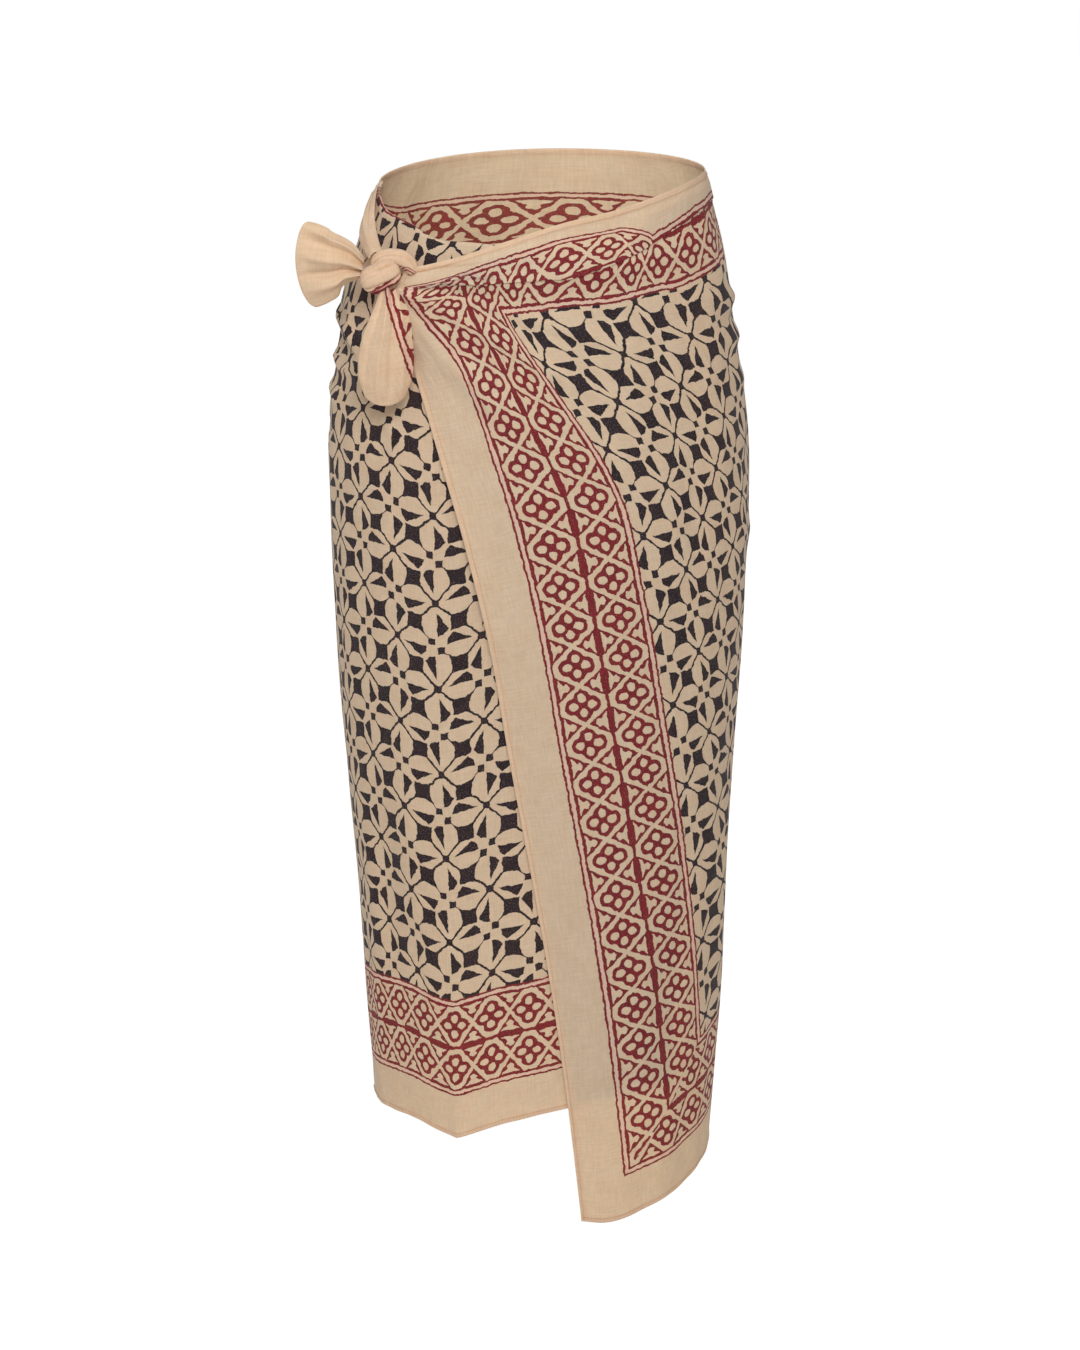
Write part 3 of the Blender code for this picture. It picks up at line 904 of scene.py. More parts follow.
def over_cloth(sizes):
    """Outer end: points, thickness and places on the cloth."""
    s = crowd(fine_lines(OVER_COLUMNS, OVER_WIDTH, sizes.hem, True, False), COLUMN_CROWD)
    top_angle = FLAP_EDGE["angle"][-1] + s * (RIGHT_SEAM - FLAP_EDGE["angle"][-1])
    length = OVER_LENGTH + 0.0 * s
    joined = ease(0.02, 0.22, s)
    tuck = tuck_at(sizes, top_angle, length, 0.06 + 0.94 * joined)
    below_rim, v_tucked, lift = tucked_rows(sizes, length, tuck, OVER_ROWS)
    s, joined, length = s[None, :], joined[None, :], length[None, :]
    t = np.clip(1.0 - below_rim / length, 0.0, 1.0)
    angle, z = over_place(s + 0.0 * t, t)

    free = ease(0.0, 0.03, below_rim) * ease(0.0, 0.02, 1.0 - s)
    lift = lift * (0.25 + 0.75 * joined) + hung(OVER_CREASES, angle, z, OVER_WAVES) * free
    lift = lift + creased(NECK_CREASES, angle, z) * ease(0.0, 0.006, below_rim)
    flap = FLAP_LIFT * (1.0 - ease(FLAP_LIFT_FROM, FLAP_LIFT_TO, angle))

    steps = np.linalg.norm(np.diff(body_point(angle, z), axis=1), axis=-1)
    arc = np.concatenate([np.zeros((len(t), 1)), np.cumsum(steps, axis=1)], axis=1)
    extra = smooth(GATHER, "z", "extra", z) * ease(GATHER_FROM, GATHER_TO, arc)
    cut = ease(NECK_CUT_FROM, 1.0, t[:, :1]) * np.ones_like(t)
    extra = extra * (1.0 - 0.6 * cut) + NECK_CUT * cut * np.exp(-arc / NECK_CUT_REACH)
    field_extra = FIELD_EXTRA * ease(FIELD_LOW, FIELD_HIGH, z)
    u = arc + extra + (field_extra - extra) * ease(FIELD_FROM, FIELD_TO, arc)
    neck_v = sizes.cloth_width - NECK_BAND
    v_free = np.where(
        t < NECK_FROM,
        t / NECK_FROM * neck_v,
        neck_v + NECK_BAND * (t - NECK_FROM) / (1.0 - NECK_FROM),
    )
    blend = ease(0.0, 0.25, s)
    v = v_free * (1.0 - blend) + v_tucked * blend

    out, thickness = hemmed(sizes, np.minimum(arc, np.minimum(below_rim, length - below_rim)))
    points = body_point(angle, z, flap + knot_folds(angle, z) + lift + out)
    return points, thickness, np.stack([u, v], axis=-1)


def gathered_top(sizes, length, below_rim):
    """Height on the cloth where its spare width is gathered in under the rim at the left."""
    squeezed = (sizes.cloth_width - length + GATHERED_TOP) / GATHERED_TOP
    under_rim = sizes.cloth_width - below_rim * squeezed
    return np.where(below_rim < GATHERED_TOP, under_rim, length - below_rim)


def back_cloth(sizes, seam_below, seam_u):
    """Stretch round the back. It takes its places on the cloth from the outer end at the seam:
    u by the share of the height below the rim."""
    s = np.linspace(0.0, 1.0, BACK_COLUMNS + 1)
    top_angle = RIGHT_SEAM + s * (LEFT_SEAM - RIGHT_SEAM)
    rim_z = smooth(BACK_TOP, "angle", "z", top_angle)
    length = rim_z - smooth(BACK_HEM, "angle", "z", top_angle)
    last = ease(0.80, 1.0, s)
    tuck = tuck_at(sizes, top_angle, length, 1.0 - 0.92 * last)
    below_rim, v, lift = tucked_rows(sizes, length, tuck, BACK_ROWS)
    s, last, length = s[None, :], last[None, :], length[None, :]
    z = rim_z[None, :] - below_rim
    angle = top_angle[None, :] + 0.0 * z

    free = ease(0.0, 0.03, below_rim) * ease(0.0, 4.0, angle - RIGHT_SEAM)
    free = free * ease(0.0, 4.0, LEFT_SEAM - angle)
    lift = lift + hung(BACK_CREASES, angle, z, BACK_WAVES) * free

    start = np.interp(below_rim[:, :1] / length[0, 0], seam_below, seam_u)
    upright = np.interp(np.maximum(below_rim, BACK_LEVEL) / length, seam_below, seam_u)
    start = start + (upright - start) * ease(0.0, 0.30, s)
    wide = BACK_SPREAD * (1.0 - ease(BACK_LEVEL, 3.0 * BACK_LEVEL, below_rim))
    run = s + wide * np.sin(2.0 * math.pi * s) / (2.0 * math.pi)
    u = start + run * (LEFT_SEAM_U - start)
    v = v + (gathered_top(sizes, length, below_rim) - v) * last

    out, thickness = hemmed(sizes, np.minimum(below_rim, length - below_rim))
    return body_point(angle, z, lift + out), thickness, np.stack([u, v], axis=-1)


def under_cloth(sizes):
    """Inner end: its rows run up to the fold at the top, over it and down inside."""
    s = fine_lines(UNDER_COLUMNS, UNDER_WIDTH, sizes.hem, False, True)
    low = LEFT_SEAM - 360.0
    angle_row = low + s * (UNDER_END - low)
    hem_z = smooth(UNDER_HEM, "angle", "z", angle_row)
    hem_z = hem_z - HEM_POINT * np.exp(-np.abs(angle_row - PLEAT_ANGLE) / HEM_POINT_WIDTH)
    fold_z = smooth(UNDER_TOP, "angle", "z", angle_row) - TURN_RADIUS
    rows = crowd(fine_lines(UNDER_ROWS, UNDER_HEIGHT, sizes.hem, True, False), ROW_CROWD)
    z = hem_z[None, :] + rows[:, None] * (fold_z - hem_z)[None, :]
    angle = angle_row[None, :] + 0.0 * z

    aside = np.sqrt(((angle - PLEAT_ANGLE) / PLEAT_WIDTH) ** 2 + PLEAT_EDGE**2)
    pleat = PLEAT_HEIGHT * ease(PLEAT_TOP, PLEAT_BOTTOM, z) * np.exp(-aside / PLEAT_FADE)
    free = ease(0.0, 0.02, fold_z[None, :] - z) * ease(0.0, 4.0, angle - low)
    # The flap lies on this stretch from here on, and presses its creases flat.
    flap_angle = 12.0 * (1.0 - (z + 0.86) / 0.75)
    pressed = 1.0 - 0.85 * ease(-16.0, 0.0, angle - flap_angle)
    lift = pleat + hung(UNDER_CREASES, angle, z, UNDER_WAVES) * free * pressed

    height = z - hem_z[None, :]
    full = (fold_z - hem_z)[None, :]
    squeeze = (FOLD_V - FOLD_V_FROM) / (np.maximum(full, FOLD_V) - FOLD_V_FROM)
    v = np.where(height > FOLD_V_FROM, FOLD_V_FROM + (height - FOLD_V_FROM) * squeeze, height)
    rim_v = gathered_top(sizes, full, full - height)
    v = v + (rim_v - v) * (1.0 - ease(low, low + 16.0, angle))

    # The turned top: round the fold, and down inside.
    arc = math.pi * TURN_RADIUS
    gone = np.concatenate([np.linspace(0.0, arc, 7)[1:], arc + TURN_IN * np.array([0.3, 0.6, 1.0])])
    turn = np.minimum(gone / TURN_RADIUS, math.pi)
    drop = np.maximum(gone - arc, 0.0)
    turned_z = fold_z[None, :] + (TURN_RADIUS * np.sin(turn) - drop)[:, None]
    turned_lift = (-TURN_RADIUS * (1.0 - np.cos(turn)))[:, None] + 0.0 * turned_z

    out, thickness = hemmed(sizes, np.minimum(height, (1.0 - s)[None, :] * UNDER_WIDTH))
    thickness = np.concatenate([thickness, sizes.cloth + 0.0 * turned_z])
    lift = np.concatenate([lift + out, turned_lift])
    v = np.concatenate([v, v[-1:] + gone[:, None]])
    z = np.concatenate([z, turned_z])
    angle = angle_row[None, :] + 0.0 * z
    u = LEFT_SEAM_U + UNDER_RADIUS * np.radians(angle - low)
    return body_point(angle, z, lift), thickness, np.stack([u, v], axis=-1)


def route_point(table, t):
    """Points on the line that a table's rows give."""
    return np.stack([smooth(table, "t", axis, t) for axis in ("x", "y", "z")], axis=-1)


def route_tangent(table, t):
    """Unit directions along the line that a table's rows give."""
    ahead = route_point(table, np.minimum(t + 0.02, 1.0))
    step = ahead - route_point(table, np.maximum(t - 0.02, 0.0))
    return step / np.linalg.norm(step, axis=-1, keepdims=True)


def ribbon_grid(table, bulge, folds, columns, rows):
    """A bowed strip of cloth with folds along it: its points, and its places across and along."""
    s = np.linspace(0.0, 1.0, columns + 1)[None, :] + np.zeros((rows + 1, 1))
    t = np.linspace(0.0, 1.0, rows + 1)[:, None] + np.zeros((1, columns + 1))
    turn = np.radians(smooth(table, "t", "turn", t))
    along = route_tangent(table, t)
    across = np.stack([np.sin(turn), np.zeros_like(turn), np.cos(turn)], axis=-1)
    across -= along * np.sum(along * across, axis=-1, keepdims=True)
    across /= np.linalg.norm(across, axis=-1, keepdims=True)
    out = np.cross(across, along)
    side = 2.0 * s - 1.0
    crown = 1.0 - side**2
    half = smooth(table, "t", "half", t)
    bow = smooth(table, "t", "bow", t) * crown
    lift = np.zeros_like(s)
    for fold in folds:
        place = fold["start"] + (fold["end"] - fold["start"]) * t
        fade = 1.0 - ease(0.55, 1.05, t)
        lift += fold["height"] * fade * np.exp(-(((s - place) / fold["width"]) ** 2))
    points = route_point(table, t) + (half * side)[..., None] * across
    points += (bow + lift)[..., None] * out + (np.sqrt(crown) * bulge * t * t)[..., None] * along
    return points, s, t


def node(tree, kind, inputs=(), out=0, **settings):
    """Add a node with its settings, link or set its inputs in order, and give one output.
    Inputs may be a list, or a dict by socket name or number."""
    item = tree.nodes.new(kind)
    for key, value in settings.items():
        setattr(item, key, value)
    pairs = inputs.items() if isinstance(inputs, dict) else enumerate(inputs)
    for key, value in pairs:
        if isinstance(value, bpy.types.NodeSocket):
            tree.links.new(value, item.inputs[key])
        else:
            item.inputs[key].default_value = value
    return item.outputs[out]


MATH = "ShaderNodeMath"
VECTOR = "ShaderNodeVectorMath"
NOISE = "ShaderNodeTexNoise"
MIX = "ShaderNodeMix"
COLOUR_MIX = {"out": 2, "data_type": "RGBA"}


def field_mask(tree, x, y):
    """1 on the field's cloth-coloured flowers and 0 on its dark ground. x and y are in repeats."""
    add = partial(node, tree)
    # The nearest flower's centre: one stands at a repeat's corners, and one, turned, in its middle.
    x1 = add(MATH, [x, add(MATH, [x], operation="ROUND")], operation="SUBTRACT")
    y1 = add(MATH, [y, add(MATH, [y], operation="ROUND")], operation="SUBTRACT")
    x2 = add(MATH, [0.5, add(MATH, [x], operation="FRACT")], operation="SUBTRACT")
    y2 = add(MATH, [add(MATH, [y], operation="FRACT"), 0.5], operation="SUBTRACT")
    ax = add(MATH, [x1], operation="ABSOLUTE")
    ay = add(MATH, [y1], operation="ABSOLUTE")
    nearer = add(MATH, [add(MATH, [ax, ay], operation="ADD"), 0.5], operation="LESS_THAN")
    dx = add(MATH, [x1, x2], operation="SUBTRACT")
    p = add(MATH, [nearer, dx, x2], operation="MULTIPLY_ADD")
    dy = add(MATH, [y1, y2], operation="SUBTRACT")
    q = add(MATH, [nearer, dy, y2], operation="MULTIPLY_ADD")
    # a runs out along the nearest petal, and b goes aside from it, the same way round on all four.
    ap = add(MATH, [p], operation="ABSOLUTE")
    aq = add(MATH, [q], operation="ABSOLUTE")
    level = add(MATH, [ap, aq], operation="GREATER_THAN")
    a = add(MATH, [ap, aq], operation="MAXIMUM")
    b_level = add(MATH, [add(MATH, [p], operation="SIGN"), q], operation="MULTIPLY")
    flip = add(MATH, [add(MATH, [q], operation="SIGN"), -1.0], operation="MULTIPLY")
    b_up = add(MATH, [flip, p], operation="MULTIPLY")
    db = add(MATH, [b_level, b_up], operation="SUBTRACT")
    b = add(MATH, [level, db, b_up], operation="MULTIPLY_ADD")
    ab = add(MATH, [b], operation="ABSOLUTE")

    # The petal, parted from its neighbours and from the star of ink in the middle.
    from_centre = add(MATH, [a, PETAL_CENTRE], operation="SUBTRACT")
    along = add(MATH, [from_centre, PETAL_LENGTH], operation="DIVIDE")
    across = add(MATH, [b, PETAL_WIDTH], operation="DIVIDE")
    square = add(MATH, [across, across], operation="MULTIPLY")
    round_petal = add(MATH, [along, along, square], operation="MULTIPLY_ADD")
    petal = add(MATH, [round_petal, 1.0], operation="LESS_THAN")
    gap = add(MATH, [a, ab], operation="SUBTRACT")
    parted = add(MATH, [gap, PETAL_GAP], operation="GREATER_THAN")
    petal = add(MATH, [petal, parted], operation="MINIMUM")
    off_star = add(MATH, [a, STAR], operation="GREATER_THAN")
    petal = add(MATH, [petal, off_star], operation="MINIMUM")

    # The wedge of ink on one side of the petal.
    leaf = add(MATH, [a, WEDGE_SLOPE, b], operation="MULTIPLY_ADD")
    wedge = add(MATH, [leaf, WEDGE_FOOT], operation="GREATER_THAN")
    aside = add(MATH, [b, -WEDGE_SIDE], operation="LESS_THAN")
    wedge = add(MATH, [wedge, aside], operation="MINIMUM")
    base = add(MATH, [b, WEDGE_LEAN, a], operation="MULTIPLY_ADD")
    short = add(MATH, [base, WEDGE_BASE], operation="LESS_THAN")
    wedge = add(MATH, [wedge, short], operation="MINIMUM")
    petal = add(MATH, [petal, wedge], operation="SUBTRACT", use_clamp=True)

    # Bare cloth joins a petal's tip to the next flower's, with a small block of ink on it.
    reach = add(MATH, [a, ab], operation="ADD")
    join = add(MATH, [reach, JOIN_FROM], operation="GREATER_THAN")
    one_side = add(MATH, [b, 0.0], operation="LESS_THAN")
    join = add(MATH, [join, one_side], operation="MINIMUM")
    narrow = add(MATH, [ab, JOIN_WIDTH], operation="LESS_THAN")
    join = add(MATH, [join, narrow], operation="MINIMUM")
    tip = add(MATH, [a, LINK_FROM], operation="GREATER_THAN")
    thin = add(MATH, [ab, WEDGE_SIDE], operation="LESS_THAN")
    link = add(MATH, [tip, thin], operation="MINIMUM")
    light = add(MATH, [petal, join], operation="MAXIMUM")
    light = add(MATH, [light, link], operation="MAXIMUM")
    block_a = add(MATH, [a, BLOCK_ALONG], operation="SUBTRACT")
    block_a = add(MATH, [block_a], operation="ABSOLUTE")
    block_b = add(MATH, [b, BLOCK_ASIDE], operation="SUBTRACT")
    block_b = add(MATH, [block_b], operation="ABSOLUTE")
    block = add(MATH, [block_a, block_b], operation="MAXIMUM")
    block = add(MATH, [block, BLOCK_HALF], operation="LESS_THAN")
    return add(MATH, [light, block], operation="SUBTRACT", use_clamp=True)


def ellipse_mask(tree, a, r, shape):
    """1 inside an ellipse of the border's chart."""
    add = partial(node, tree)
    across = add(MATH, [a, shape["along"]], operation="SUBTRACT")
    across = add(MATH, [across, shape["half_along"]], operation="DIVIDE")
    up = add(MATH, [r, shape["across"]], operation="SUBTRACT")
    up = add(MATH, [up, shape["half_across"]], operation="DIVIDE")
    square = add(MATH, [up, up], operation="MULTIPLY")
    total = add(MATH, [across, across, square], operation="MULTIPLY_ADD")
    return add(MATH, [total, 1.0], operation="LESS_THAN")


def border_mask(tree, across, along):
    """1 on the border's cloth-coloured parts. across is in millimetres from its mid line."""
    add = partial(node, tree)
    # r runs across a row from its middle, and a along it from a lozenge's middle.
    r = add(MATH, [across, ROW_CENTRE], operation="SUBTRACT")
    r = add(MATH, [r], operation="ABSOLUTE")
    half = 0.5 * LOZENGE_REPEAT
    a = add(MATH, [along, half], operation="ADD")
    a = add(MATH, [a, half], operation="PINGPONG")
    slant = add(MATH, [r, LOZENGE_SLOPE, a], operation="MULTIPLY_ADD")
    slant = add(MATH, [slant, half], operation="SUBTRACT")
    slant = add(MATH, [slant, math.hypot(1.0, LOZENGE_SLOPE)], operation="DIVIDE")
    cut = add(MATH, [r, LOZENGE_CUT], operation="SUBTRACT")
    off = add(MATH, [slant, cut], operation="MAXIMUM")
    inside = add(MATH, [off, LOZENGE_LINE], operation="LESS_THAN")

    # The lozenge's flower: a ground of ink with four bare petals and a slit of ink through them.
    ink = [ellipse_mask(tree, a, r, lobe) for lobe in FLOWER_LOBES]
    corner = add(MATH, [a, 1.0, r], operation="MULTIPLY_ADD")
    corner = add(MATH, [corner, FLOWER_REACH], operation="LESS_THAN")
    ink = add(MATH, ink, operation="MAXIMUM")
    ink = add(MATH, [ink, corner], operation="MAXIMUM")
    petals = [ellipse_mask(tree, a, r, petal) for petal in FLOWER_PETALS]
    petals = add(MATH, petals, operation="MAXIMUM")
    lean = add(MATH, [r, -1.0], operation="MULTIPLY")
    lean = add(MATH, [a, FLOWER_SLIT_SLOPE, lean], operation="MULTIPLY_ADD")
    lean = add(MATH, [lean], operation="ABSOLUTE")
    lean = add(MATH, [lean, FLOWER_SLIT], operation="GREATER_THAN")
    petals = add(MATH, [petals, lean], operation="MINIMUM")
    ink = add(MATH, [ink, petals], operation="SUBTRACT", use_clamp=True)
    cell = add(MATH, [inside, ink], operation="SUBTRACT", use_clamp=True)

    # The scalloped leaf in the corner between two lozenges.
    scallop = add(MATH, [r, 2.0 * math.pi / SCALLOP_REPEAT], operation="MULTIPLY")
    scallop = add(MATH, [scallop], operation="COSINE")
    scallop = add(MATH, [scallop, SCALLOP_DEPTH, SCALLOP_OFF], operation="MULTIPLY_ADD")
    leaf = add(MATH, [off, scallop], operation="GREATER_THAN")
    in_row = add(MATH, [r, LOZENGE_CUT - SCALLOP_EDGE], operation="LESS_THAN")
    leaf = add(MATH, [leaf, in_row], operation="MINIMUM")
    return add(MATH, [cell, leaf], operation="MAXIMUM")


def block_print(sizes, colours):
    """The stamped print as a node group: its colour, and where ink lies."""
    tree = bpy.data.node_groups.new("block_print", "ShaderNodeTree")
    tree.interface.new_socket("Colour", in_out="OUTPUT", socket_type="NodeSocketColor")
    tree.interface.new_socket("Ink", in_out="OUTPUT", socket_type="NodeSocketFloat")
    add = partial(node, tree)
    place = add("ShaderNodeUVMap", uv_map="cloth")
    # A hand-cut block leaves an edge that wavers by about a millimetre, every 7 mm or so.
    waver = add(NOISE, dict(WAVER_NOISE, Vector=place), out="Color", noise_dimensions="2D")
    waver = add(VECTOR, [waver, (0.5, 0.5, 0.5)], operation="SUBTRACT")
    waver = add(VECTOR, {0: waver, "Scale": WAVER}, operation="SCALE")
    moved = add(VECTOR, [place, waver], operation="ADD")
    axes = tree.nodes.new("ShaderNodeSeparateXYZ")
    tree.links.new(moved, axes.inputs[0])
    u, v = axes.outputs[0], axes.outputs[1]
    low = add(MATH, [v, sizes.hem_share], operation="DIVIDE")
    high = add(MATH, [sizes.cloth_width, v], operation="SUBTRACT")
    high = add(MATH, [high, sizes.hem_share], operation="DIVIDE")
    ends = add(MATH, [low, high], operation="MINIMUM")
    from_edge = add(MATH, [u, ends], operation="MINIMUM")
    at_side = add(MATH, [u, ends], operation="LESS_THAN")
    along = add(MATH, [v, u], operation="SUBTRACT")
    along = add(MATH, [at_side, along, u], operation="MULTIPLY_ADD")
    along = add(MATH, [along, MILLIMETRES], operation="MULTIPLY")
    across = add(MATH, [from_edge, sizes.margin + 0.5 * sizes.border], operation="SUBTRACT")
    across = add(MATH, [across], operation="ABSOLUTE")
    across = add(MATH, [across, MILLIMETRES], operation="MULTIPLY")

    x = add(MATH, [u, sizes.flower_u], operation="SUBTRACT")
    x = add(MATH, [x, sizes.flower], operation="DIVIDE")
    y = add(MATH, [v, sizes.flower_v], operation="SUBTRACT")
    y = add(MATH, [y, sizes.flower], operation="DIVIDE")
    flowers = field_mask(tree, x, y)
    lozenges = border_mask(tree, across, along)

    half_border = 0.5 * MILLIMETRES * sizes.border
    in_border = add(MATH, [across, half_border], operation="LESS_THAN")
    in_margin = add(MATH, [from_edge, sizes.margin], operation="LESS_THAN")
    on_mid = add(MATH, [across, MID_LINE], operation="LESS_THAN")
    on_rule = add(MATH, [across, RULE_FROM], operation="GREATER_THAN")
    red = add(MATH, [1.0, lozenges], operation="SUBTRACT")
    red = add(MATH, [red, on_mid], operation="MAXIMUM")
    red = add(MATH, [red, on_rule], operation="MAXIMUM")
    pink_from = add(MATH, [across, PINK_FROM], operation="GREATER_THAN")
    pink_to = add(MATH, [across, PINK_TO], operation="LESS_THAN")
    pink = add(MATH, [pink_from, pink_to], operation="MINIMUM")

    # Ink takes unevenly: paler in soft patches, and speckled where the block pressed lightly.
    patch = add(NOISE, dict(PATCH_NOISE, Vector=place), noise_dimensions="2D")
    speck = add(NOISE, dict(SPECK_NOISE, Vector=place), noise_dimensions="2D")
    warm, dark, wine = (
        add(MIX, {0: patch, 6: tinted(code, less), 7: tinted(code, more)}, **COLOUR_MIX)
        for code, less, more in (
            (colours.beige, *BEIGE_TINTS),
            (colours.navy, *NAVY_TINTS),
            (colours.maroon, *MAROON_TINTS),
        )
    )
    thin = add("ShaderNodeMapRange", [speck, *SPECK_RANGE])
    dark = add(MIX, {0: thin, 6: dark, 7: warm}, **COLOUR_MIX)
    wine = add(MIX, {0: thin, 6: wine, 7: warm}, **COLOUR_MIX)
    colour = add(MIX, {0: flowers, 6: dark, 7: warm}, **COLOUR_MIX)
    border = add(MIX, {0: red, 6: warm, 7: wine}, **COLOUR_MIX)
    border = add(MIX, {0: pink, 6: border, 7: linear(colours.pink)}, **COLOUR_MIX)
    colour = add(MIX, {0: in_border, 6: colour, 7: border}, **COLOUR_MIX)
    colour = add(MIX, {0: in_margin, 6: colour, 7: warm}, **COLOUR_MIX)
    result = tree.nodes.new("NodeGroupOutput")
    tree.links.new(colour, result.inputs["Colour"])
    ink = add(MATH, [1.0, in_margin], operation="SUBTRACT")
    tree.links.new(ink, result.inputs["Ink"])
    return tree


def printed_cotton(name, group, colours, through, pale):
    """Plain weave cotton, block printed: matt, with slubs in warp and weft and small wrinkles.
    through is how much of the ground hides the ink: 0 on the face, some on the back. pale is
    painted
    light: how much lighter the side is made, standing in for light that reaches the inside of the
    cloth."""
    material = bpy.data.materials.new(name)
    material.use_nodes = True
    tree = material.node_tree
    add = partial(node, tree)
    shader = tree.nodes["Principled BSDF"]
    stamped = tree.nodes.new("ShaderNodeGroup")
    stamped.node_tree = group
    ground = linear(colours.beige)
    colour = add(MIX, {0: through, 6: stamped.outputs["Colour"], 7: ground}, **COLOUR_MIX)
    place = add("ShaderNodeUVMap", uv_map="cloth")
    # Threads are 0.3 mm apart, too fine to show, so slubs are drawn every 2 mm or so.
    warp = add(VECTOR, [place, (SLUBS_ACROSS, SLUBS_ALONG, 1.0)], operation="MULTIPLY")
    warp = add(NOISE, dict(SLUB_NOISE, Vector=warp), noise_dimensions="2D")
    weft = add(VECTOR, [place, (SLUBS_ALONG, SLUBS_ACROSS, 1.0)], operation="MULTIPLY")
    weft = add(NOISE, dict(SLUB_NOISE, Vector=weft), noise_dimensions="2D")
    slub = add(MATH, [warp, weft], operation="ADD")
    # pale lifts the back's colour: painted light, on top of the slubs' own tone.
    shade = add("ShaderNodeMapRange", [slub, *SLUB_RANGE, SLUB_DARK * pale, SLUB_LIGHT * pale])
    colour = add(MIX, {0: 1.0, 6: colour, 7: shade}, **COLOUR_MIX, blend_type="MULTIPLY")
    tree.links.new(colour, shader.inputs["Base Color"])
    # Worn cotton wrinkles every 24 mm or so, a little longer up the cloth than across it.
    wrinkle = add(VECTOR, [place, WRINKLE_STRETCH], operation="MULTIPLY")
    wrinkle = add(NOISE, dict(WRINKLE_NOISE, Vector=wrinkle), noise_dimensions="2D")
    height = add(MATH, [slub, SLUB_HEIGHT], operation="MULTIPLY")
    height = add(MATH, [wrinkle, WRINKLE_HEIGHT, height], operation="MULTIPLY_ADD")
    bump = add("ShaderNodeBump", {"Height": height, "Strength": BUMP, "Distance": 1.0})
    tree.links.new(bump, shader.inputs["Normal"])
    for socket, value in COTTON.items():
        shader.inputs[socket].default_value = value
    return material


class SarongSetup(bpy.types.Operator):
    """Make the printed cotton materials that every stretch of cloth wears"""

    bl_idname = "sarong.cotton"
    bl_label = "Printed cotton"

    def execute(self, context):
        sizes, colours = context.scene.sarong_sizes, context.scene.sarong_colours
        group = block_print(sizes, colours)
        printed_cotton("block_printed_cotton_face", group, colours, 0.0, 1.0)
        # The back's colour is lighter: painted light for the inside of the wound cloth.
        printed_cotton("block_printed_cotton_back", group, colours, BACK_THROUGH, BACK_PAINTED_LIGHT)
        return {"FINISHED"}


def cotton_pair():
    """Face and back of the printed cotton."""
    return [bpy.data.materials["block_printed_cotton_" + side] for side in ("face", "back")]


def stand_for(piece, name):
    """Ride on the body and stand for the solid of the same name, which is hidden."""
    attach(piece, "root")
    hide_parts(name)


def wound_cloths(sizes):
    """The wound cloth's three stretches: each one's points, thickness and places on the cloth."""
    over = over_cloth(sizes)
    seam_z = over[0][:, -1, 2]
    seam_below = (OVER_TOP["z"][-1] - seam_z) / (OVER_TOP["z"][-1] - OVER_HEM["z"][-1])
    order = np.argsort(-seam_below, kind="stable")[::-1]
    back = back_cloth(sizes, seam_below[order], over[2][order, -1, 0])
    return {"over_front": over, "back": back, "under_front": under_cloth(sizes)}


class SarongCloth(bpy.types.Operator):
    """Wind the cloth: the outer end, the stretch round the back and the inner end"""

    bl_idname = "sarong.wound_cloth"
    bl_label = "Wound cloth"

    def execute(self, context):
        sizes = context.scene.sarong_sizes
        for name, (points, thickness, uv) in wound_cloths(sizes).items():
            piece = cloth_shell(name + "_cloth", points, thickness, uv, cotton_pair())
            stand_for(piece, name)
        return {"FINISHED"}


def strip_uv(on_cloth, s, t):
    """Places on the cloth of a strip that lies straight on it."""
    u, across, v, along = on_cloth
    return np.stack([u + across * s, v + along * t], axis=-1)


class SarongTies(bpy.types.Operator):
    """Shape the strap, the fan end and the hanging end of the tied corner"""

    bl_idname = "sarong.tie_ends"
    bl_label = "Tie ends"

    def execute(self, context):
        sizes = context.scene.sarong_sizes
        thickness = sizes.cloth + STRIP_THICKER
        points, s, t = ribbon_grid(STRAP, 0.0, STRAP_FOLDS, 28, 60)
        uv = strip_uv(STRAP_ON_CLOTH, s, t)
        strap = cloth_shell("strap_cloth", points, thickness + 0.0 * s, uv, cotton_pair())
        stand_for(strap, "strap")
        points, s, t = ribbon_grid(EAR, EAR_BULGE, EAR_FOLDS, 48, 44)
        uv = strip_uv(EAR_ON_CLOTH, s, t)
        ear = cloth_shell("ear_cloth", points, thickness + 0.0 * s, uv, cotton_pair())
        stand_for(ear, "ear")
        points, s, t = ribbon_grid(TAIL, TAIL_BULGE, TAIL_FOLDS, 44, 60)
        x, z = points[..., 0] - TAIL_RULE_X, points[..., 2] - TAIL_RULE_Z
        straight, lean = TAIL_LEAN
        u = sizes.margin + x * straight + z * lean
        uv = np.stack([u, TAIL_RULE_V + z * straight - x * lean], axis=-1)
        tail = cloth_shell("tail_cloth", points, thickness + 0.0 * s, uv, cotton_pair())
        stand_for(tail, "tail")
        return {"FINISHED"}


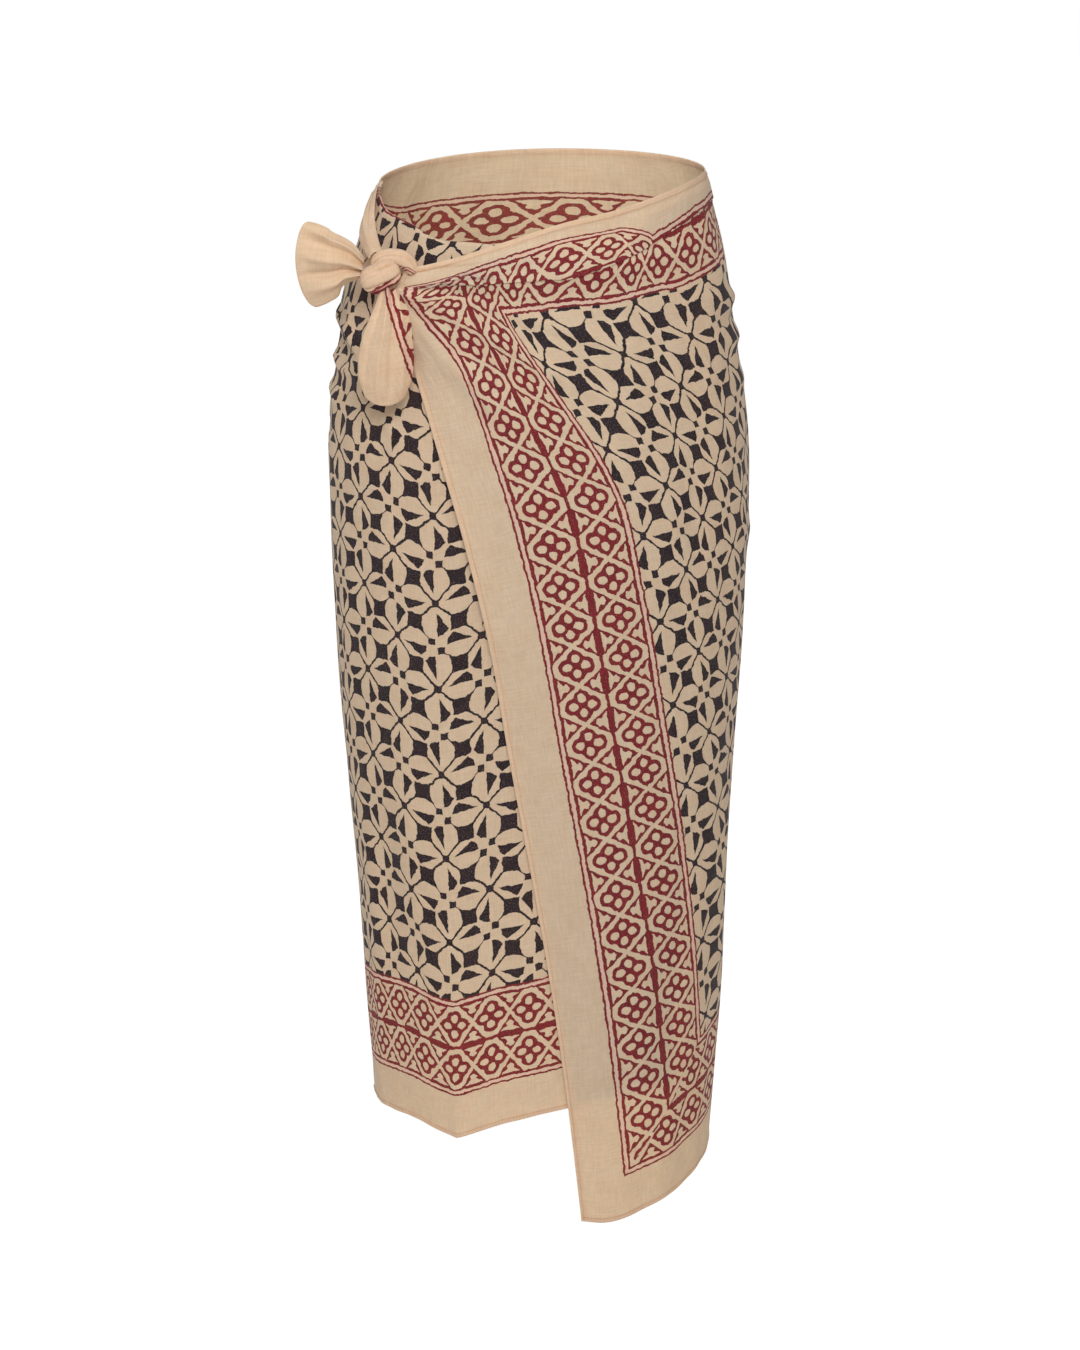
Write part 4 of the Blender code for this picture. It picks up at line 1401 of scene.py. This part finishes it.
def bundle(name, table, stations, sides, grooves, on_cloth):
    """A bundle of folded cloth along a route, grooved lengthways by its folds, closed at its
    ends. on_cloth gives where its low side and its high side lie in u, and its drift in u."""
    t = np.linspace(0.0, 1.0, stations + 1)[:, None] + np.zeros((1, sides))
    turn = 2.0 * math.pi * np.arange(sides)[None, :] / sides + np.zeros((stations + 1, 1))
    along = route_tangent(table, t)
    front = np.zeros_like(along)
    front[..., 1] = -1.0
    front -= along * np.sum(along * front, axis=-1, keepdims=True)
    front /= np.linalg.norm(front, axis=-1, keepdims=True)
    up = np.cross(front, along)
    groove = np.zeros_like(turn)
    for row in grooves:
        gap = turn - math.radians(row["place"]) - row["drift"] * t + math.pi
        gap = np.abs(gap % (2.0 * math.pi) - math.pi)
        groove += row["depth"] * np.exp(-((gap / row["width"]) ** 2))
    tall = smooth(table, "t", "tall", t) * (1.0 - groove)
    deep = smooth(table, "t", "deep", t) * (1.0 - groove)
    points = route_point(table, t) + (tall * np.cos(turn))[..., None] * up
    points += (deep * np.sin(turn))[..., None] * front
    mesh = bpy.data.meshes.new(name)
    faces = []
    for k in range(stations):
        for i in range(sides):
            a, b = k * sides + i, k * sides + (i + 1) % sides
            faces.append((a, b, b + sides, a + sides))
    faces.append(tuple(reversed(range(sides))))
    faces.append(tuple(stations * sides + i for i in range(sides)))
    mesh.from_pydata(points.reshape(-1, 3).tolist(), [], faces)
    mesh.materials.append(cotton_pair()[0])
    layer = mesh.uv_layers.new(name="cloth")
    low, high, drift = on_cloth
    for loop in mesh.loops:
        height = 0.5 - 0.5 * math.cos(2.0 * math.pi * (loop.vertex_index % sides) / sides)
        part = (loop.vertex_index // sides) / stations
        u = low + (high - low) * height + drift * part**3
        layer.data[loop.index].uv = (u, BUNDLE_V + BUNDLE_LENGTH * part)
    mesh.shade_smooth()
    mesh.update()
    piece = bpy.data.objects.new(name, mesh)
    bpy.context.scene.collection.objects.link(piece)
    return piece


class SarongKnot(bpy.types.Operator):
    """Shape the band that crosses the knot and the loop that arches over it"""

    bl_idname = "sarong.knot"
    bl_label = "Knot"

    def execute(self, context):
        wrap = bundle("knot_wrap_cloth", WRAP, 40, 72, WRAP_GROOVES, WRAP_ON_CLOTH)
        stand_for(wrap, "knot_wrap")
        loop = bundle("knot_loop_cloth", LOOP, 36, 60, LOOP_GROOVES, LOOP_ON_CLOTH)
        stand_for(loop, "knot_loop")
        return {"FINISHED"}


def stitch_nodes():
    """Geometry Nodes: thread stitches laid end to end along a path, each a little uneven."""
    tree = bpy.data.node_groups.new("hem_stitches", "GeometryNodeTree")
    tree.interface.new_socket("Path", in_out="INPUT", socket_type="NodeSocketGeometry")
    for label in ("Spacing", "Length", "Radius"):
        tree.interface.new_socket(label, in_out="INPUT", socket_type="NodeSocketFloat")
    tree.interface.new_socket("Thread", in_out="INPUT", socket_type="NodeSocketMaterial")
    tree.interface.new_socket("Stitches", in_out="OUTPUT", socket_type="NodeSocketGeometry")
    add = partial(node, tree)
    given = tree.nodes.new("NodeGroupInput").outputs
    curve = add("GeometryNodeMeshToCurve", {"Mesh": given["Path"]})
    spread = tree.nodes.new("GeometryNodeCurveToPoints")
    spread.mode = "LENGTH"
    tree.links.new(curve, spread.inputs["Curve"])
    tree.links.new(given["Spacing"], spread.inputs["Length"])
    points, tangent = spread.outputs["Points"], spread.outputs["Tangent"]
    along = add("FunctionNodeAlignRotationToVector", {"Vector": tangent}, axis="Z")
    stitch = add(
        "GeometryNodeMeshCylinder",
        {"Vertices": STITCH_SIDES, "Radius": given["Radius"], "Depth": given["Length"]},
    )
    uneven = add(
        "FunctionNodeRandomValue",
        {2: STITCH_LEAST, 3: STITCH_MOST, "Seed": 7},
        out=1,
        data_type="FLOAT",
    )
    laid = add(
        "GeometryNodeInstanceOnPoints",
        {"Points": points, "Instance": stitch, "Rotation": along, "Scale": uneven},
    )
    real = add("GeometryNodeRealizeInstances", {"Geometry": laid})
    done = add("GeometryNodeSetMaterial", {"Geometry": real, "Material": given["Thread"]})
    tree.links.new(done, tree.nodes.new("NodeGroupOutput").inputs["Stitches"])
    return tree


class SarongStitches(bpy.types.Operator):
    """Stitch the rolled hems: hem, side edge and rim"""

    bl_idname = "sarong.stitches"
    bl_label = "Hem stitches"

    def execute(self, context):
        sizes, colours = context.scene.sarong_sizes, context.scene.sarong_colours
        grids = {name: made[0] for name, made in wound_cloths(sizes).items()}
        for name, grid in grids.items():
            grids[name] = grid + STITCH_RADIUS * grid_normals(grid)
        over, back, under = grids["over_front"], grids["back"], grids["under_front"]
        paths = [
            over[HEM_LINE, HEM_LINE:],
            over[HEM_LINE:RIM_LINE, HEM_LINE],
            over[RIM_LINE, HEM_LINE:],
            back[HEM_LINE],
            back[RIM_LINE],
            under[HEM_LINE],
        ]
        places, edges = [], []
        for path in paths:
            first = len(places)
            places.extend(path.tolist())
            edges.extend((first + k, first + k + 1) for k in range(len(path) - 1))
        mesh = bpy.data.meshes.new("hem_path")
        mesh.from_pydata(places, edges, [])
        guide = bpy.data.objects.new("hem_path", mesh)
        context.scene.collection.objects.link(guide)

        # Cotton sewing thread, a little darker than the cloth.
        thread = bpy.data.materials.new("cotton_thread")
        thread.use_nodes = True
        shader = thread.node_tree.nodes["Principled BSDF"]
        shader.inputs["Base Color"].default_value = linear(colours.thread)
        shader.inputs["Roughness"].default_value = 0.7

        tree = stitch_nodes()
        given = {
            "Spacing": sizes.stitch,
            "Length": STITCH_SHARE * sizes.stitch,
            "Radius": STITCH_RADIUS,
            "Thread": thread,
        }
        sewn = guide.modifiers.new("stitches", "NODES")
        sewn.node_group = tree
        for socket in tree.interface.items_tree:
            if socket.name in given:
                sewn[socket.identifier] = given[socket.name]
        depsgraph = context.evaluated_depsgraph_get()
        plain = bpy.data.meshes.new_from_object(guide.evaluated_get(depsgraph))
        bpy.data.objects.remove(guide)
        if not plain.polygons:
            raise RuntimeError("the hem stitches came out empty")
        stitches = bpy.data.objects.new("hem_stitches_thread", plain)
        context.scene.collection.objects.link(stitches)
        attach(stitches, "root")
        return {"FINISHED"}


class SarongStudio(bpy.types.Operator):
    """Set the pale floor, the soft lights and the camera"""

    bl_idname = "sarong.studio"
    bl_label = "Studio"

    def execute(self, context):
        colours = context.scene.sarong_colours
        mesh = bpy.data.meshes.new("studio_floor")
        shape = bmesh.new()
        bmesh.ops.create_grid(shape, x_segments=8, y_segments=8, size=FLOOR_SIZE)
        shape.to_mesh(mesh)
        shape.free()
        floor = bpy.data.objects.new("studio_floor", mesh)
        floor.location = FLOOR_PLACE
        context.scene.collection.objects.link(floor)
        paper = bpy.data.materials.new("matt_paper")
        paper.use_nodes = True
        shader = paper.node_tree.nodes["Principled BSDF"]
        shader.inputs["Base Color"].default_value = linear(colours.floor)
        shader.inputs["Roughness"].default_value = 0.95
        shader.inputs["Emission Color"].default_value = (1.0, 1.0, 1.0, 1.0)
        # The paper behind the piece glows: painted light in place of a lamp of its own, fading off
        # in front of it.
        tree = paper.node_tree
        spot = tree.nodes.new("ShaderNodeSeparateXYZ")
        tree.links.new(node(tree, "ShaderNodeTexCoord", out="Object"), spot.inputs[0])
        glow = node(tree, "ShaderNodeMapRange", [spot.outputs[1], *PAPER_GLOW])
        tree.links.new(glow, shader.inputs["Emission Strength"])
        mesh.materials.append(paper)
        world = bpy.data.worlds.new("studio_air")
        world.use_nodes = True
        air = world.node_tree.nodes["Background"]
        air.inputs["Color"].default_value = (1.0, 1.0, 1.0, 1.0)
        air.inputs["Strength"].default_value = AIR
        context.scene.world = world
        for row in LAMPS:
            name = str(row["name"])
            place = Vector((row["x"], row["y"], row["z"]))
            lamp = bpy.data.lights.new(name, "AREA")
            lamp.size = row["size"]
            lamp.energy = row["power"]
            item = bpy.data.objects.new(name, lamp)
            item.location = place
            item.rotation_euler = (Vector(LAMP_AIM) - place).to_track_quat("-Z", "Y").to_euler()
            context.scene.collection.objects.link(item)
        camera = bpy.data.cameras.new("camera")
        camera.lens = CAMERA_LENS
        camera.sensor_width = 36.0
        camera.sensor_fit = "HORIZONTAL"
        eye = bpy.data.objects.new("camera", camera)
        eye.location = CAMERA_PLACE
        eye.rotation_euler = (math.radians(CAMERA_TILT), 0.0, 0.0)
        context.scene.collection.objects.link(eye)
        context.scene.camera = eye
        context.scene.view_settings.view_transform = "Standard"
        return {"FINISHED"}


class SarongPanel(bpy.types.Panel):
    """Sizes, colours and the steps that build the sarong"""

    bl_idname = "VIEW3D_PT_sarong"
    bl_label = "Block printed sarong"
    bl_space_type = "VIEW_3D"
    bl_region_type = "UI"
    bl_category = "Sarong"

    def draw(self, context):
        for group in (context.scene.sarong_sizes, context.scene.sarong_colours):
            for name in group.__annotations__:
                self.layout.prop(group, name)
        for step in STEPS:
            self.layout.operator(step.bl_idname)


STEPS = (SarongStudio, SarongSetup, SarongCloth, SarongTies, SarongKnot, SarongStitches)
CLASSES = (SarongSizes, SarongColours) + STEPS + (SarongPanel,)


def register():
    for item in CLASSES:
        bpy.utils.register_class(item)
    bpy.types.Scene.sarong_sizes = bpy.props.PointerProperty(type=SarongSizes)
    bpy.types.Scene.sarong_colours = bpy.props.PointerProperty(type=SarongColours)


def unregister():
    del bpy.types.Scene.sarong_colours
    del bpy.types.Scene.sarong_sizes
    for item in reversed(CLASSES):
        bpy.utils.unregister_class(item)


def main():
    register()
    bpy.ops.sarong.studio()
    bpy.ops.sarong.cotton()
    bpy.ops.sarong.wound_cloth()
    bpy.ops.sarong.tie_ends()
    bpy.ops.sarong.knot()
    bpy.ops.sarong.stitches()


if __name__ == "__main__":
    main()
